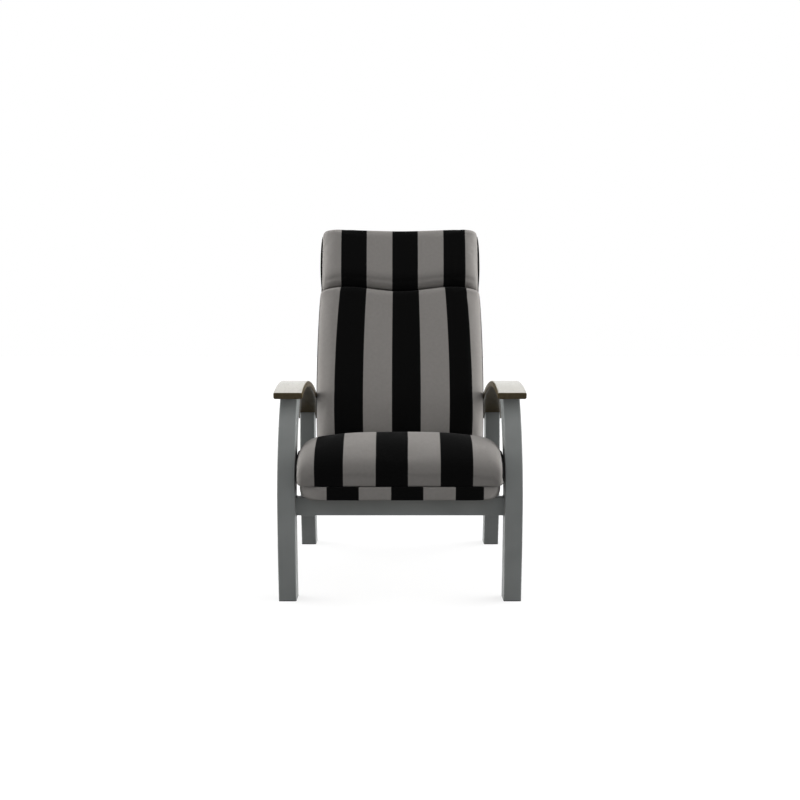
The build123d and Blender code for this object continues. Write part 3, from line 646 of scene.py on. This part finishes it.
def panel_points(mesh):
    """Numbers of the points of the end panels, which have the second finish."""
    corners = np.empty(len(mesh.loops), dtype=np.int32)
    mesh.loops.foreach_get("vertex_index", corners)
    finish = np.empty(len(mesh.polygons), dtype=np.int32)
    mesh.polygons.foreach_get("material_index", finish)
    sides = np.empty(len(mesh.polygons), dtype=np.int32)
    mesh.polygons.foreach_get("loop_total", sides)
    return np.unique(corners[np.repeat(finish, sides) == 1])


def stuffed(cushion, reach, pressure=1.5, extra_cloth=0.006, frames=20):
    """Blow the cover out between its end panels for some frames, then take the new places, at
    most reach away from the old ones: d becomes reach tanh(d / reach)."""
    mesh = cushion.data
    drawn = mesh_points(mesh)
    group = cushion.vertex_groups.new(name="held")
    group.add(panel_points(mesh).tolist(), 1.0, "REPLACE")
    modifier = cushion.modifiers.new("stuffing", "CLOTH")
    settings = modifier.settings
    settings.quality = 5
    settings.mass = 0.3
    settings.tension_stiffness = settings.compression_stiffness = 15
    settings.shear_stiffness = 5
    settings.bending_stiffness = 0.5
    settings.use_pressure = True
    settings.uniform_pressure_force = pressure
    settings.shrink_min = -extra_cloth
    settings.effector_weights.gravity = 0
    settings.vertex_group_mass = "held"
    modifier.collision_settings.use_collision = False
    modifier.point_cache.frame_end = frames
    scene = bpy.context.scene
    for number in range(1, frames + 1):
        scene.frame_set(number)
    view = bpy.context.evaluated_depsgraph_get()
    moved = mesh_points(cushion.evaluated_get(view).data) - drawn
    cushion.modifiers.remove(modifier)
    cushion.vertex_groups.remove(group)
    scene.frame_set(1)
    length = np.linalg.norm(moved, axis=1, keepdims=True)
    moved *= reach * np.tanh(length / reach) / np.maximum(length, not_moved)
    mesh.vertices.foreach_set("co", (drawn + moved).ravel())
    mesh.update()
    print(cushion.name, "cloth moved by up to", round(float(length.max()) * 1000, 1), "mm")
    smoother = cushion.modifiers.new("smoother", "SUBSURF")
    smoother.levels = smoother.render_levels = 1
    smoother.uv_smooth = "NONE"


# %% [markdown]
# The seat cushion is a box cushion with a domed front. Its top falls towards the back, so that
# the sitter doesn't slide out, and its front face swells out over the band below. The fall is a
# scale of height that depends on how far back a point is.

# %% Seat cushion
seat_seam_inset = 0.0048       # the side seams inside the foam's box
seat_shape = {
    "half": seat_high.x - seat_seam_inset, "bulge": 0.0068, "boxy": 4, "reach": 0.060,
    "across": (36, 14, 12),
    "front": (0.018, 0.011), "rear": (0.050, 0.020), "bottom": (0.030, 0.010),
    "top": (0.046, 0.034),
    "corners": ((0.004, 0.005), (0.095, 0.085), (0.030, 0.025), (0.020, 0.020)),
    "round": (30, 4, 9, 20, 42, 7, 8, 5),
}
seat_crown = 0.016             # how far the top has fallen at crown_half from the middle
crown_half = 0.25
seat_belly = 0.007             # swell of the front face
belly_reach = 0.12             # how far back from the front it can be felt
belly_hang = 0.8               # below 1, the belly is fullest under its middle
seat_fall = math.radians(8.2)
seat_crest = seat_low.y + 0.100
seat_top = seat_high.z + 0.005
seat_black_middle = -0.0235    # where a black stripe has its middle
seat_pulled = (-0.164, -0.247, 0.11)           # from, to and share, as for stripe_count


def seat_points():
    """The box cushion, then three changes: a crown across, c |x / h|^3; a belly in front,
    b sin(pi t^s); and a height that shrinks behind the crest by the tangent of the fall."""
    low = (seat_low.y + seat_belly, seat_low.z)
    high = (seat_high.y, seat_top)
    points = cushion_points(seat_shape, low, high)
    x, depth, height = points[..., 0], points[..., 1], points[..., 2]
    tall = high[1] - low[1]
    share = (height - low[1]) / tall
    crown = seat_crown * np.minimum(np.abs(x), seat_shape["half"]) ** 3 / crown_half ** 3
    behind = np.maximum(depth - seat_crest, 0)
    scale = 1 - behind * math.tan(seat_fall) / tall
    near_front = 1 - smooth((depth - low[0]) / belly_reach)
    belly = seat_belly * np.sin(math.pi * np.clip(share, 0, 1) ** belly_hang) * near_front
    return np.stack([x, depth - belly, low[1] + tall * share * scale - crown * share], axis=-1)


seat = cushion_object("seat_cushion_cover", seat_points(), seat_shape["across"],
                      seat_black_middle, stripe_pitch, seat_pulled)
stuffed(seat, stuffing_reach)
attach(seat, "base")
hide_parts("seat_cushion")
print("seat cushion", len(seat.data.polygons), "faces")

# %% [markdown]
# The back and the headrest are one pad in two parts. The seam between them is pulled in at the
# middle and at the sides, so it runs in a shallow M. Both parts share that line.

# %% Seam under the headrest
seam_sag = 0.005               # middle of the seam under its drawn height
seam_lift = 0.016              # highest part of the seam over its middle
seam_shoulder = 0.185          # where that is
seam_end_drop = 0.009          # how far it comes down again at the sides
seam_end_reach = 0.105         # from the shoulder to where it has come down
seam_gap = 0.001               # between the seam's line and each of the two covers


def seam_wave(x):
    """Height of the seam over the drawn one: up to the shoulder, and down again to the side."""
    away = np.abs(x)
    return (seam_lift * smooth(away / seam_shoulder) - seam_sag
            - seam_end_drop * smooth((away - seam_shoulder) / seam_end_reach))


print("seam from", -seam_sag, "m in the middle to", seam_lift - seam_sag, "m at the shoulder")

# %% [markdown]
# The back cushion is made first. Seen from the front it is widest in its lower part and narrows
# from there both ways, so its sides are bowed. The cloth is drawn in with it: the stripes are a
# little slimmer near the head. Its lower front edge is a long ellipse that comes down to the
# seat.

# %% Back cushion
back_shape = {
    "half": 0.2850, "bulge": 0.003, "boxy": 2, "reach": 0.060, "across": (36, 14, 12),
    "front": (0.060, 0.042), "rear": (0.004, 0.001), "bottom": (0.020, 0.012),
    "top": (0.020, 0.003),
    "corners": ((0.036, 0.170), (0.018, 0.014), (0.003, 0.003), (0.003, 0.003)),
    "round": (6, 30, 56, 8, 6, 3, 20, 3),
}
widest_at = 0.25               # how far up the back it is widest
bow_share, bow_reach = 0.0185, 0.28            # share of the width lost this far from there
stripe_widest, stripe_widest_at = 0.0978, 0.2
stripe_loss, stripe_reach = 0.0058, 0.33       # width lost this far from the widest
back_black_share = 0.22        # a black stripe's middle, as a share of a stripe
back_pulled = (0.165, 0.245, 0.19)


def bowed(points):
    """Sides that bow out: x is scaled by 1 - k ((h - h0) / r)^2 with the height h."""
    narrower = bow_share * ((points[..., 2] - widest_at) / bow_reach) ** 2
    return points * np.stack([1 - narrower, 1 + 0 * narrower, 1 + 0 * narrower], axis=-1)


def back_pitch(heights):
    """Width of a stripe up the back: w - l ((h - h0) / r)^2."""
    return stripe_widest - stripe_loss * ((heights - stripe_widest_at) / stripe_reach) ** 2


back_points = cushion_points(back_shape, (rest_low[1], rest_low[2]),
                             (rest_high[1], head_low[2] - seam_gap), high_wave=seam_wave)
back_points = bowed(back_points)
pitch = back_pitch(back_points[:, back_points.shape[1] // 2, 2])
back_cushion = cushion_object("back_cushion_cover", from_back(back_points),
                              back_shape["across"], back_black_share * pitch, pitch,
                              back_pulled)
stuffed(back_cushion, stuffing_reach)
print("back cushion", len(back_cushion.data.polygons), "faces")

# %% [markdown]
# The headrest is the same kind of pad, shorter and rounder in front. Its top edge hangs a
# little in the middle, and just above the seam a fold runs across its face, where the foam
# turns under. The fold is part of the formula, because it has to lie in one place.

# %% Headrest
head_shape = dict(back_shape)
head_shape.update({
    "half": 0.2735, "bulge": 0.008, "bottom": (0.020, 0.002), "top": (0.016, 0.009),
    "corners": ((0.032, 0.062), (0.016, 0.016), (0.003, 0.003), (0.003, 0.003)),
    "round": (6, 18, 24, 8, 6, 3, 16, 3),
})
head_drop = 0.008              # the cover's top under the top of the drawn foam
head_sag_depth, head_sag_reach = 0.0045, 0.20
fold_depth, fold_width = 0.0024, 0.007
fold_over_seam = 0.027
face_depth = 0.05              # the fold ends this far behind the face
head_black_middle, head_pitch = 0.0178, 0.0893
head_pulled = (0.152, 0.229, 0.14)


def head_sag(x):
    """The headrest's top edge is a little lower in its middle."""
    return -head_sag_depth * (1 - smooth(np.abs(x) / head_sag_reach))


def creased(points):
    """A fold in the headrest's front above the seam: the face goes back by c exp(-((h - h0) /
    w)^2), where h is the height over the seam."""
    over_seam = points[..., 2] - head_low[2] - seam_wave(points[..., 0])
    face = 1 - smooth((points[..., 1] - head_low[1]) / face_depth)
    fold = fold_depth * np.exp(-((over_seam - fold_over_seam) / fold_width) ** 2)
    depth = points[..., 1] + fold * face
    return np.stack([points[..., 0], depth, points[..., 2]], axis=-1)


head_points = cushion_points(head_shape, (head_low[1], head_low[2] + seam_gap),
                             (head_high[1], head_high[2] - head_drop), low_wave=seam_wave,
                             high_wave=head_sag)
head_points = creased(head_points)
headrest = cushion_object("headrest_cushion_cover", from_back(head_points),
                          head_shape["across"], head_black_middle, head_pitch, head_pulled)
stuffed(headrest, stuffing_reach)
for piece, node in ((back_cushion, "back_cushion"), (headrest, "headrest_cushion")):
    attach(piece, "back")
    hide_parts(node)
print("headrest", len(headrest.data.polygons), "faces")

# %% [markdown]
# Under the seat cushion runs a band: a shallow box upholstered in the same cloth. Its stripes
# run round it, so this grid goes the other way: along a rounded rectangle seen from above, and
# down a short profile. The outline and its inward normals come first, because the back's cover
# is built on them too.


# %% Outline of a box with rounded corners
def plan_outline(half, y_front, y_rear, front_corner, rear_corner, spacing=0.006):
    """Closed outline of a box from above, from the middle of its front to the right, as
    straight runs and quarter ellipses."""
    (a, b), (c, d) = front_corner, rear_corner
    quarter = np.linspace(0, math.pi / 2, 16, endpoint=False)

    def run(x0, y0, x1, y1):
        count = max(2, round(math.hypot(x1 - x0, y1 - y0) / spacing))
        step = np.linspace(0, 1, count, endpoint=False)
        return np.stack([x0 + (x1 - x0) * step, y0 + (y1 - y0) * step], axis=-1)

    right = np.concatenate([
        run(0, y_front, half - a, y_front),
        np.stack([half - a + a * np.sin(quarter), y_front + b - b * np.cos(quarter)], axis=-1),
        run(half, y_front + b, half, y_rear - d),
        np.stack([half - c + c * np.cos(quarter), y_rear - d + d * np.sin(quarter)], axis=-1),
        run(half - c, y_rear, 0, y_rear)])
    left = right[:0:-1] * (-1, 1)
    return np.concatenate([right, [[0, y_rear]], left])


def inward_normals(loop):
    """Unit normals of a closed plan outline that runs anticlockwise, pointing inwards."""
    tangent = np.roll(loop, -1, axis=0) - np.roll(loop, 1, axis=0)
    normal = np.stack([-tangent[:, 1], tangent[:, 0]], axis=-1)
    return normal / np.linalg.norm(normal, axis=1, keepdims=True)


# %% [markdown]
# The band's profile turns over at the top and tucks under at the bottom. In front the lower
# edge is nearly square. At the sides the cloth is drawn in under the board, so the edge is wide
# and high there, and a hem steps up to the board.

# %% Seat band
band_front_corner = (0.080, 0.045)
band_rear_corner = (0.040, 0.040)
band_half = band_high.x + 0.003
band_tuck = 0.004              # width and height of the lower edge in front
side_wider, side_taller = 0.014, 0.026         # and how much more at the sides
band_top_edge = 0.0015
band_hem = 0.0015
band_black_middle, band_pitch = 0.0209, 0.0930
band_pulled = (0.160, 0.241, 0.12)


def band_points(outline):
    """Grid of outline points by profile points: from the middle of the top over the upper edge,
    down the wall, round the lower edge, up to the hem and to the middle of the bottom. Both
    edges are quarter ellipses of inset and height, and the lower one changes from the front to
    the sides by how far the wall faces sideways."""
    normal = inward_normals(outline)
    quarter = np.linspace(0, math.pi / 2, 9)[None, :]
    sideways = smooth(np.abs(normal[:, :1]))
    wide, tall = band_tuck + side_wider * sideways, band_tuck + side_taller * sideways
    inset = np.concatenate([wide + band_hem, wide - wide * np.sin(quarter),
                            band_top_edge - band_top_edge * np.cos(quarter) + 0 * wide], axis=1)
    hem = 0 * wide + band_low.z + band_hem
    upper = band_high.z - band_top_edge + band_top_edge * np.sin(quarter)
    height = np.concatenate([hem, hem, band_low.z + tall - tall * np.cos(quarter),
                             upper + 0 * tall, 0 * wide + band_high.z], axis=1)
    wall = outline[:, None] + normal[:, None] * inset[..., None]
    centre = (outline.min(axis=0) + outline.max(axis=0)) / 2
    middle = np.broadcast_to(centre, (len(outline), 1, 2))
    plan = np.concatenate([middle, wall, middle], axis=1)
    return np.concatenate([plan, height[..., None]], axis=-1)[:, ::-1]


def band_object():
    """Band mesh. The stripes are counted along its outline, both ways from the middle of the
    front."""
    outline = plan_outline(band_half, band_low.y, band_high.y, band_front_corner,
                           band_rear_corner)
    points = band_points(outline)
    rows, columns = points.shape[:2]
    walked = walked_along(outline, closed=True)
    walked = np.where(walked > walked[-1] / 2, walked - walked[-1], walked)
    down = walked_along(points[0])
    faces = grid_faces(rows, columns, wrap=True)
    corner_row, corner_column = face_corners(len(faces), columns)
    stripes = stripe_count(walked, band_black_middle, band_pitch, band_pulled)
    cloth = np.stack([stripes[corner_row], down[corner_column]], axis=-1)
    return mesh_object("seat_band_cover", points, faces, [striped], None, cloth)


band = band_object()
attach(band, "base")
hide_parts("seat_base")
print("band", len(band.data.polygons), "faces")

# %% [markdown]
# Behind the foam, a black cloth shell closes the back. It is stapled over a board, so it has flat
# walls, one rounded rear edge and a rear face that stands a little proud in its middle. The
# outline is the same rounded frame as the band's, narrowed towards the top, and it is carried
# along a profile of inset and depth. A cord sewn into the rear edge, the welt, hides that seam.

# %% Back cover
cover_corner = 0.022
cover_edge = 0.005
cover_pillow = 0.004           # how far the middle of the rear face stands proud
cover_gap = 0.00015            # between the foam's rear and the cover's lip
cover_lip = rest_high[1] + cover_gap
cover_lip_edge = 0.002
cover_front_inset = 0.030
cover_taper_share = 0.0268     # share of the width lost up to the top


def cover_outline():
    """Outline of the cover as (x, height), anticlockwise, with x narrowed evenly upwards."""
    corner = (cover_corner, cover_corner)
    loop = plan_outline(cover_high[0], cover_low[2], cover_high[2], corner, corner)
    share = (loop[:, 1] - cover_low[2]) / (cover_high[2] - cover_low[2])
    return loop * np.stack([1 - cover_taper_share * share, 1 + 0 * share], axis=-1)


def cover_points():
    """Grid of outline points by profile points (x, depth, height): from the middle of the
    front to the lip, round its edge, back along the wall, round the rear edge, and over the
    rear face to its middle, which is lifted by p (1 - (1 - s)^2)."""
    loop = cover_outline()
    inward = inward_normals(loop)
    turn = np.linspace(0, math.pi / 2, 6)
    wall = np.linspace(cover_lip + cover_lip_edge, cover_high[1] - cover_edge, 8)[1:-1]
    inset = np.concatenate([[cover_front_inset],
                            cover_lip_edge - cover_lip_edge * np.sin(turn), 0 * wall,
                            cover_edge - cover_edge * np.cos(turn)])
    ring = loop[:, None] + inward[:, None] * inset[None, :, None]
    share = np.linspace(0, 1, 15)[1:]
    middle = np.array([0, (cover_low[2] + cover_high[2]) / 2])
    face = ring[:, -1:] + (middle - ring[:, -1:]) * share[None, :, None]
    front = middle + 0 * ring[:, :1]
    plan = np.concatenate([front, ring, face], axis=1)
    depth = np.concatenate([[cover_lip, cover_lip],
                            cover_lip + cover_lip_edge - cover_lip_edge * np.cos(turn), wall,
                            cover_high[1] - cover_edge + cover_edge * np.sin(turn),
                            cover_high[1] + cover_pillow * (1 - (1 - share) ** 2)])
    depth = np.broadcast_to(depth, plan.shape[:2])
    return np.stack([plan[..., 0], depth, plan[..., 1]], axis=-1), 1 + len(inset)


points, wall_columns = cover_points()
rows, columns = points.shape[:2]
faces = grid_faces(rows, columns, wrap=True)
corner_row, corner_column = face_corners(len(faces), columns)
place = points[corner_row % rows, corner_column]
# The narrow walls are mapped by their depth alone, and the rear face by both its directions.
along_wall = np.stack([0 * place[..., 0], place[..., 1]], axis=-1)
on_face = place[..., [0, 2]]
is_wall = corner_column[:, 0] < wall_columns - 1
cloth = np.where(is_wall[:, None, None], along_wall, on_face)
cover = mesh_object("back_cover_cloth", from_back(points), faces, [black_cloth], None, cloth)
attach(cover, "back")
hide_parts("back_cover")
print("back cover", len(faces), "faces")

# %% [markdown]
# A welt and a weld bead are the same thing to a modeller: a thin round bar that follows a line
# lying in a plane. Each ring of the bar is the line's point plus r (cos a n + sin a m), where n
# is square to the line inside the plane and m is square to the plane.


# %% Welt
def bar_points(line, plane_normal, radius, closed, sides=10):
    """Rings of a bar along a line that lies in a plane. radius is one number or one per point."""
    if closed:
        tangent = np.roll(line, -1, axis=0) - np.roll(line, 1, axis=0)
    else:
        tangent = np.gradient(line, axis=0)
    tangent /= np.linalg.norm(tangent, axis=1, keepdims=True)
    square = np.cross(tangent, plane_normal)
    angle = np.linspace(0, 2 * math.pi, sides, endpoint=False)[None, :, None]
    radius = np.broadcast_to(radius, len(line))[:, None, None]
    ring = square[:, None] * np.cos(angle) + plane_normal * np.sin(angle)
    return line[:, None] + ring * radius


def bar_faces(count, sides, closed):
    """Quads between neighbouring rings of a bar, all round each ring, facing outwards."""
    ring = np.arange(count if closed else count - 1)[:, None]
    side = np.arange(sides)[None, :]
    after, beside = (ring + 1) % count, (side + 1) % sides
    quads = np.stack([ring * sides + side, after * sides + side, after * sides + beside,
                      ring * sides + beside], axis=-1)
    return quads.reshape(-1, 4)


welt_radius = 0.0022
welt_inset = 0.0018            # its middle inside the cover's outline
welt_forward = 0.0012          # and in front of the cover's rear face
loop = cover_outline()
loop = loop + inward_normals(loop) * welt_inset
depth = cover_high[1] - welt_forward + 0 * loop[:, 0]
line = np.stack([loop[:, 0], depth, loop[:, 1]], axis=-1)
bar = bar_points(line, np.array([0.0, 1.0, 0.0]), welt_radius, closed=True)
faces = bar_faces(len(line), bar.shape[1], closed=True)
walked = walked_along(line, closed=True)
side_number = np.arange(len(faces))[:, None] % bar.shape[1] + np.array([0, 0, 1, 1])
ring_number = (np.arange(len(faces)) // bar.shape[1])[:, None] + np.array([0, 1, 1, 0])
girth = 2 * math.pi * welt_radius / bar.shape[1]
cloth = np.stack([walked[ring_number], side_number * girth], axis=-1)
welt = mesh_object("back_cover_welt", from_back(bar), faces, [black_cloth], None, cloth)
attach(welt, "back")
print("welt", round(float(walked[-1]), 3), "m long")

# %% [markdown]
# The frame is welded. Ground and powder coated, a weld is a low bead along the joint, with the
# ripple of the torch still in it. So each bead is a bar half sunk in the corner, and its radius
# swells and shrinks every few millimetres: r (a + b |sin(pi s / p)|).


# %% Weld beads
bead_radius = 0.0018
bead_ripple = 0.0045           # from one ripple of the torch to the next
thin_share, ripple_share = 0.85, 0.3


def walked_points(corners, spacing=0.0011):
    """Points at even steps along straight runs between corners, with the distance walked."""
    reached = walked_along(corners)
    walk = np.linspace(0, reached[-1], max(8, round(reached[-1] / spacing)))
    return np.stack([np.interp(walk, reached, corners[:, axis]) for axis in range(3)],
                    axis=-1), walk


def bead(corners, plane_normal, closed):
    """Points and faces of one bead along straight runs. An open one closes to a point at both
    ends."""
    line, walk = walked_points(corners)
    if closed:
        line, walk = line[:-1], walk[:-1]
    ripple = np.abs(np.sin(math.pi * walk / bead_ripple))
    radius = bead_radius * (thin_share + ripple_share * ripple)
    if not closed:
        radius[[0, -1]] = 0
    bar = bar_points(line, plane_normal, radius, closed)
    return bar.reshape(-1, 3), bar_faces(len(line), bar.shape[1], closed)


def end_of(node, axis, high):
    """Corners of a rail's end, as a rectangle: the bottom run is in the middle of the list, so
    that leaving out the first run leaves a U."""
    low_corner, high_corner = (np.array(corner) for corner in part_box(node))
    other = 1 - axis
    place = (high_corner if high else low_corner)[axis]
    corners = []
    for side, level in ((1, 1), (0, 1), (0, 0), (1, 0), (1, 1)):
        point = np.zeros(3)
        point[axis] = place
        point[other] = (low_corner, high_corner)[side][other]
        point[2] = (low_corner, high_corner)[level][2]
        corners.append(point)
    return np.array(corners)


ends = [(node, high) for node in ("front_rail", "rear_rail") for high in (False, True)]
beads = [bead(end_of(node, 0, high), np.eye(3)[0], closed=True) for node, high in ends]
for node, axis in (("mechanism_rail", 0), ("seat_bearer_left", 1), ("seat_bearer_right", 1)):
    for high in (False, True):
        beads.append(bead(end_of(node, axis, high)[1:], np.eye(3)[axis], closed=False))
starts = np.cumsum([0] + [len(points) for points, _ in beads])
points = np.concatenate([points for points, _ in beads])
faces = np.concatenate([quads + start for (_, quads), start in zip(beads, starts)])
weld_beads = mesh_object("weld_beads", points, faces, [frame_paint])
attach(weld_beads, "base")
print(len(beads), "weld beads,", len(faces), "faces")

# %% [markdown]
# A product picture on white is mostly about the light. The floor is white paper: a camera sees
# it as white, with a faint shadow, while everything else sees a plain grey surface, so that it
# throws little light back up. Metal and glass see it as the camera does.

# %% Floor
floor_size = 24.0
paper_grey = (0.18, 0.18, 0.18, 1)
paper_white = (0.95, 0.95, 0.95, 1)
paper_glow = 0.72              # share of the white that glows by itself and takes no shadow


def seen_by_camera(graph):
    """1 for what the camera sees, also by way of metal or glass, and 0 for all other light."""
    paths = graph.add("LightPath").outputs
    seen = graph.math("MAXIMUM", paths["Is Camera Ray"], paths["Is Glossy Ray"])
    return graph.math("MAXIMUM", seen, paths["Is Transmission Ray"])


floor = mesh_object("floor", np.array([[-1, -1, 0], [1, -1, 0], [1, 1, 0], [-1, 1, 0]])
                    * floor_size / 2, [(0, 1, 2, 3)], [])
paper = bpy.data.materials.new("floor_paper")
paper.use_nodes = True
paper.node_tree.nodes.clear()
graph = NodeGraph(paper.node_tree)
seen = seen_by_camera(graph)
diffuse = graph.add("BsdfDiffuse", Color=graph.mix(seen, paper_grey, paper_white))
glow = graph.add("Emission")
blend = graph.add("MixShader")
for socket, value in zip(blend.inputs, (graph.math("MULTIPLY", seen, paper_glow),
                                        diffuse.outputs[0], glow.outputs[0])):
    graph.put(socket, value)
graph.add("OutputMaterial", Surface=blend.outputs[0])
floor.data.materials.append(paper)
print("floor", floor_size, "m wide")

# %% [markdown]
# The world is white for the camera too. For the chair it is a soft studio: a pale sky, and a
# large soft box on either side, a little behind the chair and above it, the one on the sitter's
# left stronger. In front, where the photographer stands, it is dark, and that gives the cushions
# their form.

# %% Studio world
sky_slope, sky_floor = 0.65, 0.20              # light from above, and from everywhere
soft_boxes = ((0.97, 12.5), (-0.97, 9.8))      # how far to the side, and how strong
box_behind, box_up = 0.20, 0.12
box_narrow = 8.0               # the higher, the smaller the box

world = bpy.data.worlds.new("studio")
world.use_nodes = True
bpy.context.scene.world = world
world.node_tree.nodes.clear()
graph = NodeGraph(world.node_tree)
generated = graph.add("TexCoord").outputs["Generated"]
direction = graph.add("SeparateXYZ", Vector=generated).outputs
level = graph.math("MULTIPLY_ADD", graph.math("MAXIMUM", direction["Z"], 0.0), sky_slope,
                   sky_floor)
for sideways, strength in soft_boxes:
    towards = graph.math("MULTIPLY", direction["Z"], box_up)
    towards = graph.math("MULTIPLY_ADD", direction["Y"], box_behind, towards)
    towards = graph.math("MULTIPLY_ADD", direction["X"], sideways, towards)
    box = graph.math("POWER", graph.math("MAXIMUM", towards, 0.0), box_narrow)
    level = graph.math("MULTIPLY_ADD", box, strength, level)
mixer = graph.add("Mix")
for socket, value in ((mixer.inputs[0], seen_by_camera(graph)), (mixer.inputs[2], level),
                      (mixer.inputs[3], 1.0)):
    graph.put(socket, value)
background = graph.add("Background", Color=(1, 1, 1, 1), Strength=mixer.outputs[0])
graph.add("OutputWorld", Surface=background.outputs[0])
print("world with", len(soft_boxes), "soft boxes")

# %% [markdown]
# One weak lamp hangs high in front of the chair. It adds a little light from above, on the
# arms, the seat and the floor.

# %% Lamp
lamp_width, lamp_depth = 3.0, 2.0
lamp_power = 10
lamp_place = (0.0, -0.6, 3.2)
lamp_turn = math.radians(-10)

lamp_data = bpy.data.lights.new("overhead", "AREA")
lamp_data.shape = "RECTANGLE"
lamp_data.size, lamp_data.size_y = lamp_width, lamp_depth
lamp_data.energy = lamp_power
lamp = bpy.data.objects.new("overhead", lamp_data)
lamp.location = lamp_place
lamp.rotation_euler = (lamp_turn, 0.0, 0.0)
bpy.context.scene.collection.objects.link(lamp)
print("lamp", lamp_data.energy, "W")

bpy.context.scene.view_settings.view_transform = "Standard"
